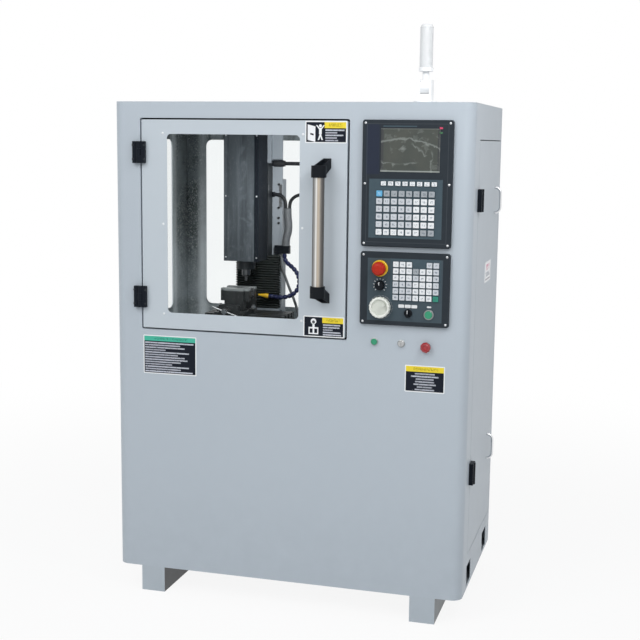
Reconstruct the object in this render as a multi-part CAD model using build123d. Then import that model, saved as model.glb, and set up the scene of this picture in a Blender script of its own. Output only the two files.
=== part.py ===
from build123d import *
import math
import os

os.makedirs("parts", exist_ok=True)

# Every length is in millimetres. The model is drawn in cabinet coordinates:
# u runs right from the cabinet's left face, v runs back from its front face and z runs up from the floor.
# save() moves each piece to the part's own frame, whose origin is the middle of the footprint on the floor.

# Cabinet
cab_w = 1093.0
cab_d = 580.0
cab_h = 1444.0
foot_h = 80.0
sheet = 2.0
bend_r = 32.0
return_d = 45.0
pan_drain_r = 15.0
top_z = foot_h + cab_h
roof_z = top_z - sheet
floor_z = foot_h + sheet
back_v = cab_d - sheet

# Foot rails
foot_w = 76.0
foot_wall = 5.0
foot_left_inset = 79.0
foot_right_inset = 77.0
foot_left_u = foot_left_inset
foot_right_u = cab_w - foot_right_inset - foot_w

# Work chamber, left of the partition, and electrical side, right of it
control_w = 345.0
chamber_right_u = cab_w - control_w
liner = 1.5
tray_z = 745.0
tray_drain_r = 20.0
tray_drain_inset = 90.0

# Front door and its opening
door_gap = 5.0
door_gap_right = 6.5
open_left = 87.0
open_right_gap = 12.0
open_top_gap = 48.0
open_u0 = open_left
open_u1 = chamber_right_u - open_right_gap
open_z0 = 838.0
open_z1 = top_z - open_top_gap
open_r = 6.0
door_t = 20.0
lip_w = 16.0
seal_t = 4.0
seal_gap = 0.3
win_left = 86.0
win_right = 148.5
win_low = 54.0
win_high = 47.0
win_u0 = open_u0 + win_left
win_u1 = open_u1 - win_right
win_z0 = open_z0 + win_low
win_z1 = open_z1 - win_high
win_r = 13.0
pane_t = 5.0
door_pane_lap = 20.0
chamber_pane_lap = 7.0
stop_v = door_t + seal_gap + seal_t

# Chamber windows in the left side and the back
side_win_front = 125.0
side_win_back = 135.0
rear_win_left = 74.0
rear_win_right = 105.0
chamber_win_low = 99.0
chamber_win_high = 110.0
side_win_v0 = side_win_front
side_win_v1 = cab_d - side_win_back
rear_win_u0 = rear_win_left
rear_win_u1 = chamber_right_u - rear_win_right
chamber_win_z0 = tray_z + chamber_win_low
chamber_win_z1 = top_z - chamber_win_high
chamber_win_r = 22.0

# Front hinges and door handle
hinge_w = 39.0
hinge_h = 65.0
hinge_leaf = 12.0
hinge_r = 8.0
hinge_gap = 0.3
hinge_pin_r = 2.5
hinge_axis_in = 1.0
hinge_low = 100.0
hinge_high = 102.0
pin_clear = 0.05
front_hinge_u = open_u0 - hinge_axis_in
front_hinge_z = (open_z0 + hinge_low, open_z1 - hinge_high)
handle_in = 78.0
handle_low = 106.0
handle_high = 112.0
handle_u = open_u1 - handle_in
handle_z0 = open_z0 + handle_low
handle_z1 = open_z1 - handle_high
handle_out = 45.0
handle_tube_r = 17.0
handle_foot_near = 1.0
handle_foot_w = 23.0
handle_foot_u0 = handle_u + handle_foot_near
handle_foot_u1 = handle_foot_u0 + handle_foot_w
handle_foot_h = 28.0
handle_end_h = 54.0
handle_cup_h = 34.0
handle_cup_t = 5.0
handle_neck_in = 2.0
handle_pocket_d = 12.0
handle_pocket_wall = 4.0
handle_reach = handle_out + handle_tube_r + handle_cup_t

# Side door, its opening and its pulls
side_open_front = 108.0
side_open_back = 20.0
side_open_low = 108.0
side_open_high = 102.0
side_open_v0 = side_open_front
side_open_v1 = cab_d - side_open_back
side_open_z0 = foot_h + side_open_low
side_open_z1 = top_z - side_open_high
side_gap = 2.5
side_hinge_low = 253.0
side_hinge_high = 173.0
side_hinge_v = side_open_v0
side_hinge_z = (side_open_z0 + side_hinge_low, side_open_z1 - side_hinge_high)
pull_in = 110.0
pull_low = 252.0
pull_high = 186.0
pull_v = side_open_v1 - pull_in
pull_z = (side_open_z0 + pull_low, side_open_z1 - pull_high)
pull_span = 78.0
pull_out = 20.0
pull_r = 4.0
pull_bend = 17.0
notch_front = 100.0
notch_front_w = 80.0
notch_back = 72.0
notch_back_w = 88.0
notch_low = 10.0
notch_h = 63.0
notch_v = ((notch_front, notch_front + notch_front_w),
           (cab_d - notch_back - notch_back_w, cab_d - notch_back))
notch_z0 = foot_h + notch_low
notch_z1 = notch_z0 + notch_h

# Control bezels, one above the other on the electrical side
bezel_in = 28.0
bezel_u0 = chamber_right_u + bezel_in
bezel_w = 260.0
bezel_out = 12.0
bezel_r = 7.0
bezel_chamfer = 2.5
bezel_rim = 14.0
bezel_gap = 14.5
disp_top_gap = 49.5
disp_h = 358.0
ctrl_h = 211.0
disp_z0 = top_z - disp_top_gap - disp_h
ctrl_z0 = disp_z0 - bezel_gap - ctrl_h
screen_in = 53.0
screen_w = 170.0
screen_low = 212.5
screen_h = 122.0
screen_u0 = bezel_u0 + screen_in
screen_u1 = screen_u0 + screen_w
screen_z0 = disp_z0 + screen_low
screen_z1 = screen_z0 + screen_h
pad_recess = 1.5
disp_pad_in = 22.0
disp_pad_w = 211.0
disp_pad_low = 25.5
disp_pad_h = 167.0
disp_pad_u0 = bezel_u0 + disp_pad_in
disp_pad_u1 = disp_pad_u0 + disp_pad_w
disp_pad_z0 = disp_z0 + disp_pad_low
disp_pad_z1 = disp_pad_z0 + disp_pad_h
mat_t = 2.0
key_out = 2.5

# Keys of the display pad and of the control pad
soft_keys = 8
soft_key = (15.5, 12.5)
soft_in = 42.0
soft_drop = 12.5
soft_pitch = 20.8
soft_u0 = disp_pad_u0 + soft_in
soft_z = disp_pad_z1 - soft_drop
grid_cols = 8
grid_rows = 6
grid_key = (17.5, 17.0)
grid_in = 30.5
grid_drop = 41.0
grid_pitch_u = 21.5
grid_pitch_z = 21.8
grid_u0 = disp_pad_u0 + grid_in
grid_z0 = disp_pad_z1 - grid_drop
ctrl_pad_in = 89.0
ctrl_pad_w = 146.0
ctrl_pad_low = 72.0
ctrl_pad_h = 121.0
ctrl_pad_u0 = bezel_u0 + ctrl_pad_in
ctrl_pad_u1 = ctrl_pad_u0 + ctrl_pad_w
ctrl_pad_z0 = ctrl_z0 + ctrl_pad_low
ctrl_pad_z1 = ctrl_pad_z0 + ctrl_pad_h
ctrl_cols = 7
ctrl_rows = 6
ctrl_key = (16.5, 16.0)
ctrl_key_in = 16.0
ctrl_pitch_u = 19.4
ctrl_pitch_z = 19.0
ctrl_key_u = ctrl_pad_u0 + ctrl_key_in
ctrl_key_z = ctrl_pad_z1 - ctrl_key_in
ctrl_missing = (3, 4)

# Operator controls: how far right and how far up each sits from the lower left corner of its plate
stop_in = 58.5
stop_up = 164.0
stop_u = bezel_u0 + stop_in
stop_z = ctrl_z0 + stop_up
stop_cap_r = 20.0
stop_cap_h = 17.0
stop_neck_r = 9.0
stop_travel = 5.0
stop_wall_share = 0.5
stop_dome_share = 0.8
stop_top_share = 0.45
collar_r = 23.5
collar_t = 8.0
dial_in = 59.0
dial_up = 115.0
dial_u = bezel_u0 + dial_in
dial_z = ctrl_z0 + dial_up
dial_r = 12.5
dial_skirt = 1.5
dial_h = 16.0
dial_base = 4.0
dial_flutes = 12
dial_flute_r = 2.2
wheel_in = 62.0
wheel_up = 52.0
wheel_u = bezel_u0 + wheel_in
wheel_z = ctrl_z0 + wheel_up
wheel_r = 30.0
wheel_h = 20.0
wheel_rim = 6.0
wheel_dish = 4.0
finger_in = 15.0
finger_turn = 35.0
finger_r = 5.0
finger_h = 6.0
sel_in = 143.0
sel_up = 37.5
sel_u = bezel_u0 + sel_in
sel_z = ctrl_z0 + sel_up
sel_r = 12.0
sel_skirt = 1.0
sel_h = 15.0
sel_base = 8.0
sel_grip_w = 6.0
start_in = 202.6
start_up = 36.0
start_u = bezel_u0 + start_in
start_z = ctrl_z0 + start_up
button_r = 11.0
button_out = 3.0
button_travel = 3.0
ring_r = 14.5
ring_t = 4.0
power_in = 43.0
power_down = 51.5
power_u = bezel_u0 + power_in
power_z = ctrl_z0 - power_down
lock_in = 122.5
lock_down = 53.0
lock_u = bezel_u0 + lock_in
lock_z = ctrl_z0 - lock_down
lock_r = 9.0
lock_out = 6.0
key_slot_w = 2.0
key_slot_h = 9.0
key_slot_d = 4.0
red_in = 195.8
red_down = 59.0
red_u = bezel_u0 + red_in
red_z = ctrl_z0 - red_down
red_cap_r = 15.5
red_cap_h = 10.0
red_wall_share = 0.5
red_top_share = 0.7
panel_ring_r = 11.0
panel_ring_t = 3.0
shaft_r = 5.0
hole_clear = 0.4
knob_gap = 0.5
stem_depth = 24.0
soft_edge = 1.0
rim_edge = 2.0
skirt_h = 3.0

# Milling machine inside the chamber
mill_u = 337.0
tool_v = 250.0
base_w = 220.0
base_front = 160.0
base_back = 280.0
base_h = 42.0
base_v0 = tool_v - base_front
base_v1 = tool_v + base_back
base_z1 = tray_z + base_h
channel_d = 14.0
rail_w = 15.0
rail_h = 13.0
rail_clear = 0.3
deck_lift = 4.0
y_rail_off = 70.0
y_rail_in = 6.0
y_rail_back = 125.0
y_rail_v0 = base_v0 + y_rail_in
y_rail_v1 = tool_v + y_rail_back
saddle_w = 240.0
saddle_d = 118.0
saddle_h = 24.0
x_rail_off = 36.0
table_off = 12.0
table_u = mill_u + table_off
table_w = 260.0
table_d = 120.0
table_h = 49.0
slot_w = 8.0
slot_d = 9.0
slot_head_w = 14.0
slot_head_h = 7.0
slot_pitch = 32.0
y_rail_z1 = base_z1 + rail_h
saddle_z0 = base_z1 + deck_lift
saddle_z1 = saddle_z0 + saddle_h
x_rail_z1 = saddle_z1 + rail_h
table_z0 = saddle_z1 + deck_lift
table_z1 = table_z0 + table_h

# Column and head
column_w = 143.0
column_back = 150.0
column_d = 112.0
column_v0 = tool_v + column_back
column_v1 = column_v0 + column_d
column_h = 665.0
column_z1 = base_z1 + column_h
column_wall = 16.0
column_edge_u = mill_u + column_w / 2
z_rail_off = 30.0
z_rail_low = 118.0
z_rail_z0 = base_z1 + z_rail_low
carriage_w = 78.0
carriage_d = 46.0
carriage_low = 255.0
carriage_h = 298.0
carriage_v1 = column_v0 - deck_lift
carriage_v0 = carriage_v1 - carriage_d
carriage_z0 = base_z1 + carriage_low
carriage_z1 = carriage_z0 + carriage_h
head_w = 104.0
head_front = 42.0
head_back = 34.0
head_lift = 4.0
head_h = 204.0
head_v0 = tool_v - head_front
head_v1 = tool_v + head_back
head_z0 = carriage_z0 + head_lift
head_z1 = head_z0 + head_h
neck_w = 70.0
neck_in = 12.0
cover_w = 115.0
cover_gap = 8.0
cover_lap = 2.0
cover_drop = 10.0
cover_h = 404.0
cover_t = 1.5
cover_tab = 20.0
cover_v0 = head_v0 - cover_gap
cover_v1 = head_v1 + cover_lap
cover_z0 = head_z0 - cover_drop
cover_z1 = cover_z0 + cover_h
nose_r = 30.0
nose_drop = 38.0
nose_z0 = head_z0 - nose_drop
quill_r = 26.0
quill_clear = 0.08
collet_r = 14.0
collet_h = 24.0
collet_edge = 3.0
collet_cone = 5.0
cutter_r = 4.0
cutter_h = 14.0
motor_w = 74.0
motor_h = 150.0
spindle_short = 20.0
spindle_top_z = head_z1 - spindle_short
bellows_w = 150.0
bellows_front = 44.0
bellows_back = 17.0
bellows_folds = 14
bellows_fold_d = 6.0
bellows_foot_t = 8.0
bellows_low = 81.0
bellows_v0 = column_v0 - bellows_front
bellows_v1 = column_v0 - bellows_back
bellows_z0 = base_z1 + bellows_low
z_motor_w = 60.0
z_motor_h = 52.0

# Vise on the table
vise_off = 36.0
vise_front = 100.0
vise_back = 35.0
vise_u = table_u - vise_off
vise_w = 94.0
vise_v0 = tool_v - vise_front
vise_v1 = tool_v + vise_back
vise_base_h = 10.0
vise_bed_w = 64.0
vise_bed_h = 24.0
jaw_h = 80.0
jaw_step_h = 30.0
jaw_step_d = 8.0
nose_d = 18.0
fixed_jaw_d = 20.0
jaw_gap = 36.0
moving_jaw_d = 28.0
screw_r = 6.0
screw_up = 18.0
screw_out = 40.0
screw_head_r = 9.0
screw_head_d = 16.0
crank_r = 2.5
crank_len = 84.0
crank_tilt = -18.0

# Coolant block, hoses and cables: each point is (right of the column's edge, behind its face, height)
block_left = 21.5
block_right = 29.5
block_d = 15.5
block_z0 = 1047.0
block_z1 = 1073.0
block_u0 = column_edge_u - block_left
block_u1 = column_edge_u + block_right
block_v0 = column_v0 - block_d
hose_r = 6.5
hose_steps = (
    (11.5, -8.0, 1047.0), (11.5, -8.0, 1030.0), (22.5, -12.0, 1016.0), (42.5, -18.0, 1004.0),
    (61.5, -23.0, 985.0), (71.5, -29.0, 958.0), (65.5, -36.0, 931.0), (47.5, -43.0, 914.0),
    (22.5, -49.0, 907.0), (-1.5, -54.0, 908.0), (-26.5, -59.0, 911.0))
drain_r = 4.5
drain_steps = (
    (-4.5, -6.5, 1047.0), (-4.5, -6.5, 1026.0), (1.5, -6.0, 1001.0), (12.5, -4.0, 972.0),
    (25.5, -2.0, 936.0), (42.5, 1.0, 896.0), (56.5, 4.0, 852.0), (63.5, 6.0, 802.0),
    (63.5, 6.0, 747.0))
nozzle_len = 34.0
nozzle_tip_r = 3.0
nozzle_collar = 1.0
nozzle_collar_share = 0.35
cable_front = 9.0
cable_v = column_v0 - cable_front
upper_cable_z = 1340.0
upper_cable_r = 6.0
sleeve_r = 11.0
sleeve_back = 2.5
sleeve_left = 24.5
sleeve_right = 12.5
sleeve_u0 = column_edge_u - sleeve_left
sleeve_u1 = column_edge_u + sleeve_right
lower_cable_r = 5.5
lower_cable_z = 1240.0
left_steps = (
    (-24.5, 1240.0), (-7.5, 1240.0), (7.0, 1231.0), (15.0, 1214.0), (15.0, 1195.0))
right_shares = (
    (1.0, 1246.0), (0.897, 1246.0), (0.75, 1238.0), (0.59, 1232.0), (0.443, 1235.0), (0.331, 1241.0))
right_steps = (
    (82.5, 1243.0), (59.5, 1240.0), (40.5, 1231.0), (28.0, 1214.0), (28.0, 1195.0))
bundle_r = 13.0
bundle_steps = (
    (21.5, 1195.0), (21.5, 1171.0), (25.0, 1146.0), (24.5, 1119.0), (16.5, 1096.0), (16.5, 1073.0))
cable_span = chamber_right_u - column_edge_u
hose_route = [(column_edge_u + du, column_v0 + dv, z) for du, dv, z in hose_steps]
drain_route = [(column_edge_u + du, column_v0 + dv, z) for du, dv, z in drain_steps]
left_route = [(column_edge_u + du, cable_v, z) for du, z in left_steps]
right_route = [(column_edge_u + share * cable_span, cable_v, z) for share, z in right_shares]
right_route += [(column_edge_u + du, cable_v, z) for du, z in right_steps]
bundle_route = [(column_edge_u + du, cable_v, z) for du, z in bundle_steps]
gland_r = 12.0
gland_t = 10.0
clip_w = 5.0
clip_h = 16.0

# Stand, coolant tank and pump under the chamber
leg_w = 40.0
stand_left = 174.0
stand_right = 176.0
stand_front = 100.0
stand_back = 60.0
stand_u0 = mill_u - stand_left
stand_u1 = mill_u + stand_right
stand_v0 = stand_front
stand_v1 = cab_d - stand_back
tank_side_gap = 5.0
tank_end_gap = 10.0
tank_u0 = stand_u0 + leg_w + tank_side_gap
tank_u1 = stand_u1 - leg_w - tank_side_gap
tank_v0 = stand_v0 + leg_w + tank_end_gap
tank_v1 = stand_v1 - leg_w - tank_end_gap
tank_h = 260.0
pump_edge = 85.0
pump_r = 45.0
pump_h = 120.0
pump_flange = 10.0
pump_flange_t = 6.0
pump_cap_in = 6.0
pump_cap_t = 10.0

# Electrical side
plate_off = 14.0
plate_t = 3.0
plate_front = 60.0
plate_back = 40.0
plate_low = 180.0
plate_high = 120.0
plate_v0 = plate_front
plate_v1 = cab_d - plate_back
plate_z0 = foot_h + plate_low
plate_z1 = top_z - plate_high
post_in = 30.0
post_r = 8.0
drive_count = 3
drive_d = 120.0
drive_w = 80.0
drive_h = 180.0
drive_gap = 30.0
drive_in = 60.0
drive_drop = 280.0
supply_d = 90.0
supply_w = 160.0
supply_h = 120.0
supply_drop = 540.0
relay_d = 60.0
relay_in = 250.0
relay_back = 40.0
relay_h = 60.0
relay_drop = 500.0
duct_d = 45.0
duct_h = 40.0
duct_in = 20.0
duct_drops = (60.0, 360.0, 620.0)
transformer_d = 110.0
transformer_w = 160.0
transformer_h = 140.0
transformer_in = 100.0
transformer_up = 220.0

# Vents in the back panel
louvre_count = 9
louvre_w = 180.0
louvre_h = 6.0
louvre_pitch = 18.0
louvre_in = 175.0
louvre_drop = 340.0
louvre_u = cab_w - louvre_in
louvre_z = top_z - louvre_drop

# Signal tower on the roof
tower_in = 163.0
tower_u = cab_w - tower_in
tower_v = 112.0
tower_flange_r = 34.0
tower_flange_t = 6.0
ear_w = 40.0
ear_t = 7.0
ear_h = 66.0
pivot_h = 46.0
pivot_z = top_z + pivot_h
pivot_r = 4.0
knuckle_t = 26.0
knuckle_r = 19.0
pole_r = 9.5
pole_h = 96.0
pole_z1 = top_z + pole_h
lamp_r = 19.0
lamp_rim = 2.0
lamp_h = 126.0
lamp_foot = 6.0
lamp_collar_h = 4.0
lamp_step = 2.0
lamp_cap_h = 8.0
lamp_cap_in = 4.0
lamp_z1 = pole_z1 + lamp_h

# Frame of the part: the middle of the footprint, with what stands proud counted in
left_u = -(cab_w + pull_out + pull_r) / 2
front_v = -(cab_d - handle_reach) / 2


def save(name, shape):
    """Write one piece in the part's own frame."""
    export_step(Pos(left_u, front_v, 0) * shape, "parts/" + name + ".step")


def block(u0, u1, v0, v1, z0, z1):
    """Box between two corners."""
    return Pos((u0 + u1) / 2, (v0 + v1) / 2, (z0 + z1) / 2) * Box(u1 - u0, v1 - v0, z1 - z0)


def rod_z(u, v, z0, z1, r):
    """Round bar along Z."""
    return Pos(u, v, (z0 + z1) / 2) * Cylinder(r, z1 - z0)


def rod_v(u, z, v0, v1, r):
    """Round bar along V."""
    return Pos(u, (v0 + v1) / 2, z) * Rot(90, 0, 0) * Cylinder(r, v1 - v0)


def rod_u(v, z, u0, u1, r):
    """Round bar along U."""
    return Pos((u0 + u1) / 2, v, z) * Rot(0, 90, 0) * Cylinder(r, u1 - u0)


def front_plate(u0, u1, z0, z1, v0, v1, r):
    """Plate facing the front, with rounded corners."""
    outline = Plane.XZ * Pos((u0 + u1) / 2, (z0 + z1) / 2) * RectangleRounded(u1 - u0, z1 - z0, r)
    return Pos(0, v1, 0) * extrude(outline, v1 - v0)


def side_plate(v0, v1, z0, z1, u0, u1, r):
    """Plate facing the side, with rounded corners."""
    outline = Plane.YZ * Pos((v0 + v1) / 2, (z0 + z1) / 2) * RectangleRounded(v1 - v0, z1 - z0, r)
    return Pos(u0, 0, 0) * extrude(outline, u1 - u0)


def turned_v(points, u, z, v):
    """Piece turned about an axis along V: points are (radius, distance out of the panel)."""
    profile = make_face(Polyline(*[(r, 0, h) for r, h in points], close=True))
    turned = revolve(profile, Axis.Z, 360)
    return Pos(u, v, z) * Rot(90, 0, 0) * turned


def route_tube(points, radius, name):
    """Tube along straight runs joined by tangent arcs, each as large as its runs allow."""
    radii = []
    for before, at, after in zip(points, points[1:], points[2:]):
        first = Vector(*at) - Vector(*before)
        second = Vector(*after) - Vector(*at)
        turn = math.radians(first.get_angle(second))
        shorter = min(first.length, second.length)
        radii.append(0.45 * shorter / math.tan(turn / 2))
    path = FilletPolyline(*points, radius=radii)
    start = Plane(origin=path @ 0, z_dir=path % 0)
    tube = sweep(start * Circle(radius), path=path)
    print(name, "arc radii", [round(r) for r in radii], "length", round(path.length))
    return tube


def footprint(inset, z0, z1, v1):
    """Cabinet outline with its two front bends, drawn in by an inset."""
    body = block(inset, cab_w - inset, inset, v1, z0, z1)
    bends = body.edges().filter_by(Axis.Z).sort_by(Axis.Y)[:2]
    return fillet(bends, bend_r - inset)


def foot_rails():
    rails = []
    for u in (foot_left_u, foot_right_u):
        shell = block(u, u + foot_w, 0, cab_d, 0, foot_h)
        hollow = block(u + foot_wall, u + foot_w - foot_wall, foot_wall, cab_d - foot_wall,
                       0, foot_h - foot_wall)
        rails.append(shell - hollow)
    return Compound(rails)


def base_pan():
    pan = footprint(0, foot_h, floor_z, cab_d)
    drain = rod_z(cab_w / 2, cab_d / 2, foot_h, floor_z, pan_drain_r)
    return pan - drain


def door_lip(z0, z1, u0, u1):
    """Folded stop behind the door opening: an outer tube and a lip turned in to carry the seal."""
    tube = front_plate(u0 - sheet, u1 + sheet, z0 - sheet, z1 + sheet, 0, stop_v + sheet, open_r + sheet)
    tube -= front_plate(u0, u1, z0, z1, 0, stop_v, open_r)
    tube -= front_plate(u0 + lip_w, u1 - lip_w, z0 + lip_w, z1 - lip_w, stop_v, stop_v + sheet, open_r)
    return tube


def front_panel():
    panel = footprint(0, floor_z, roof_z, return_d) - footprint(sheet, floor_z, roof_z, return_d)
    panel += door_lip(open_z0, open_z1, open_u0, open_u1)
    panel -= front_plate(open_u0, open_u1, open_z0, open_z1, 0, sheet, open_r)
    for z0, h in ((disp_z0, disp_h), (ctrl_z0, ctrl_h)):
        panel -= block(bezel_u0 + bezel_rim, bezel_u0 + bezel_w - bezel_rim, 0, sheet,
                       z0 + bezel_rim, z0 + h - bezel_rim)
    for u, z in ((power_u, power_z), (lock_u, lock_z), (red_u, red_z)):
        panel -= rod_v(u, z, 0, sheet, shaft_r + hole_clear)
    return panel


def left_panel():
    panel = block(0, sheet, return_d, cab_d, floor_z, roof_z)
    hole = side_plate(side_win_v0, side_win_v1, chamber_win_z0, chamber_win_z1, 0, sheet, chamber_win_r)
    return panel - hole


def right_frame():
    panel = block(cab_w - sheet, cab_w, return_d, cab_d, floor_z, roof_z)
    panel -= block(cab_w - sheet, cab_w, side_open_v0, side_open_v1, side_open_z0, side_open_z1)
    for v0, v1 in notch_v:
        panel -= block(cab_w - sheet, cab_w, v0, v1, notch_z0, notch_z1)
    return panel


def rear_panel():
    panel = block(sheet, cab_w - sheet, back_v, cab_d, floor_z, roof_z)
    panel -= front_plate(rear_win_u0, rear_win_u1, chamber_win_z0, chamber_win_z1, back_v, cab_d,
                         chamber_win_r)
    for i in range(louvre_count):
        z = louvre_z - i * louvre_pitch
        panel -= block(louvre_u - louvre_w / 2, louvre_u + louvre_w / 2, back_v, cab_d, z, z + louvre_h)
    return panel


def top_cover():
    return footprint(0, roof_z, top_z, cab_d)


def partition():
    wall = block(chamber_right_u, chamber_right_u + sheet, sheet, back_v - liner, floor_z, roof_z)
    wall -= rod_u(cable_v, upper_cable_z, chamber_right_u, chamber_right_u + sheet, upper_cable_r)
    wall -= rod_u(cable_v, right_route[0][2], chamber_right_u, chamber_right_u + sheet, lower_cable_r)
    return wall


def chamber_liner():
    """Stainless skin on the left side and the back of the chamber, open at both windows."""
    side = block(sheet, sheet + liner, return_d, back_v, tray_z, roof_z)
    side -= side_plate(side_win_v0, side_win_v1, chamber_win_z0, chamber_win_z1, sheet, sheet + liner,
                       chamber_win_r)
    rear = block(sheet, chamber_right_u + sheet, back_v - liner, back_v, tray_z, roof_z)
    rear -= front_plate(rear_win_u0, rear_win_u1, chamber_win_z0, chamber_win_z1, back_v - liner, back_v,
                        chamber_win_r)
    return side + rear


def window_panes():
    """The two fixed panes, each lapping its opening from inside."""
    inner_u = sheet + liner
    inner_v = back_v - liner
    lap = chamber_pane_lap
    side = side_plate(side_win_v0 - lap, side_win_v1 + lap, chamber_win_z0 - lap, chamber_win_z1 + lap,
                      inner_u, inner_u + pane_t, chamber_win_r)
    rear = front_plate(rear_win_u0 - lap, rear_win_u1 + lap, chamber_win_z0 - lap, chamber_win_z1 + lap,
                       inner_v - pane_t, inner_v, chamber_win_r)
    return Compound([side, rear])


def chip_tray():
    """Dished chamber floor with an upstand all round and a drain hole."""
    u0 = sheet + liner
    v1 = back_v - liner
    rim_z = open_z0 - sheet
    tray = block(u0, chamber_right_u, stop_v, v1, tray_z, rim_z)
    tray -= block(u0 + sheet, chamber_right_u - sheet, stop_v + sheet, v1 - sheet, tray_z + sheet, rim_z)
    drain = rod_z(chamber_right_u - tray_drain_inset, tool_v, tray_z, tray_z + sheet, tray_drain_r)
    return tray - drain


def door_seal():
    seat = door_t + seal_gap
    ring = front_plate(open_u0, open_u1, open_z0, open_z1, seat, seat + seal_t, open_r)
    hole = front_plate(open_u0 + lip_w, open_u1 - lip_w, open_z0 + lip_w, open_z1 - lip_w,
                       seat, seat + seal_t, open_r)
    return ring - hole


def hinge_knuckle(z, low, high, r):
    return rod_z(0, 0, z + low * hinge_h, z + high * hinge_h, r)


def hinge_fixed(z, height_shares=(-1 / 6, 1 / 6)):
    """Fixed half: leaf to the left of the axis, middle knuckle and the pin."""
    out = -(hinge_r + hinge_gap)
    leaf = block(-hinge_w / 2, 0, -out - hinge_leaf, -out, z - hinge_h / 2, z + hinge_h / 2)
    reach = hinge_r + hinge_gap
    for low, high in ((-0.5, height_shares[0]), (height_shares[1], 0.5)):
        leaf -= block(-reach, reach, -reach, reach, z + low * hinge_h, z + high * hinge_h)
    half = leaf + hinge_knuckle(z, height_shares[0], height_shares[1], hinge_r)
    return half + hinge_knuckle(z, -0.5, 0.5, hinge_pin_r)


def hinge_moving(z, height_shares=(-1 / 6, 1 / 6)):
    """Moving half: leaf to the right of the axis with an upper and a lower knuckle round the pin."""
    out = -(hinge_r + hinge_gap)
    reach = hinge_r + hinge_gap
    leaf = block(0, hinge_w / 2, -out - hinge_leaf, -out - hinge_gap, z - hinge_h / 2, z + hinge_h / 2)
    leaf -= block(-reach, reach, -reach, reach, z + (height_shares[0]) * hinge_h - hinge_gap,
                  z + height_shares[1] * hinge_h + hinge_gap)
    seat = block(reach + hinge_gap, hinge_w / 2, -out - hinge_leaf, -out, z - hinge_h / 2, z + hinge_h / 2)
    half = leaf + seat
    share_gap = hinge_gap / hinge_h
    half += hinge_knuckle(z, -0.5, height_shares[0] - share_gap, hinge_r)
    half += hinge_knuckle(z, height_shares[1] + share_gap, 0.5, hinge_r)
    return half - hinge_knuckle(z, -0.5, 0.5, hinge_pin_r + pin_clear)


def at_front_hinge(piece):
    return Pos(front_hinge_u, -(hinge_r + hinge_gap), 0) * piece


def at_side_hinge(piece):
    return Pos(cab_w + hinge_r + hinge_gap, side_hinge_v, 0) * Rot(0, 0, 90) * piece


def hinge_plates():
    front = [at_front_hinge(hinge_fixed(z)) for z in front_hinge_z]
    side = [at_side_hinge(hinge_fixed(z)) for z in side_hinge_z]
    return Compound(front + side)


def front_hinge_leaves():
    return Compound([at_front_hinge(hinge_moving(z)) for z in front_hinge_z])


def side_hinge_leaves():
    return Compound([at_side_hinge(hinge_moving(z)) for z in side_hinge_z])


def door_panel():
    """Pan door: a front skin with a folded rim and a window opening."""
    u0 = open_u0 + door_gap
    u1 = open_u1 - door_gap_right
    z0 = open_z0 + door_gap
    z1 = open_z1 - door_gap
    door = front_plate(u0, u1, z0, z1, 0, door_t, open_r / 2)
    door -= front_plate(u0 + sheet, u1 - sheet, z0 + sheet, z1 - sheet, sheet, door_t, open_r / 4)
    door -= front_plate(win_u0, win_u1, win_z0, win_z1, 0, sheet, win_r)
    return door


def door_window():
    lap = door_pane_lap
    return front_plate(win_u0 - lap, win_u1 + lap, win_z0 - lap, win_z1 + lap, sheet, sheet + pane_t, win_r)


def handle_end(z_outer, z_tube):
    """Moulded end of the handle: a foot leans out to the tube's cup, and a pocket opens its end."""
    up = 1 if z_outer > z_tube else -1
    cup_z = z_tube + up * handle_cup_h
    foot_u = (handle_foot_u0 + handle_foot_u1) / 2
    root = Plane.XZ * Pos(foot_u, z_outer - up * handle_foot_h / 2) * Rectangle(
        handle_foot_u1 - handle_foot_u0, handle_foot_h)
    tip = Plane.XZ.offset(handle_out) * Pos(handle_u, (z_tube + cup_z) / 2) * Rectangle(
        2 * (handle_tube_r - handle_neck_in), handle_cup_h)
    cup = rod_z(handle_u, -handle_out, min(z_tube, cup_z), max(z_tube, cup_z), handle_tube_r + handle_cup_t)
    near = Plane.XZ.offset(handle_pocket_wall) * Pos(foot_u, z_outer) * Rectangle(
        handle_foot_u1 - handle_foot_u0 - 2 * handle_pocket_wall, 2 * handle_pocket_d)
    far = Plane.XZ.offset(handle_out) * Pos(handle_u, cup_z) * Rectangle(
        2 * (handle_tube_r - handle_pocket_wall), 2 * handle_pocket_d)
    return loft([root, tip]) + cup - loft([near, far])


def door_handle_ends():
    top = handle_end(handle_z1, handle_z1 - handle_end_h)
    bottom = handle_end(handle_z0, handle_z0 + handle_end_h)
    return Compound([top, bottom])


def door_handle():
    return rod_z(handle_u, -handle_out, handle_z0 + handle_end_h, handle_z1 - handle_end_h, handle_tube_r)


def side_door():
    """Plain pan door of the electrical side."""
    v0 = side_open_v0 + side_gap
    v1 = side_open_v1 - side_gap
    z0 = side_open_z0 + side_gap
    z1 = side_open_z1 - side_gap
    door = block(cab_w - door_t, cab_w, v0, v1, z0, z1)
    return door - block(cab_w - door_t, cab_w - sheet, v0 + sheet, v1 - sheet, z0 + sheet, z1 - sheet)


def pull(z):
    """Chrome bow: a half-round bar with both ends on the door."""
    points = ((cab_w, pull_v, z - pull_span / 2), (cab_w + pull_out, pull_v, z - pull_span / 2),
              (cab_w + pull_out, pull_v, z + pull_span / 2), (cab_w, pull_v, z + pull_span / 2))
    path = FilletPolyline(*points, radius=pull_bend)
    start = Plane(origin=path @ 0, z_dir=path % 0)
    return sweep(start * Circle(pull_r), path=path)


def side_door_pulls():
    return Compound([pull(z) for z in pull_z])


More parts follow.
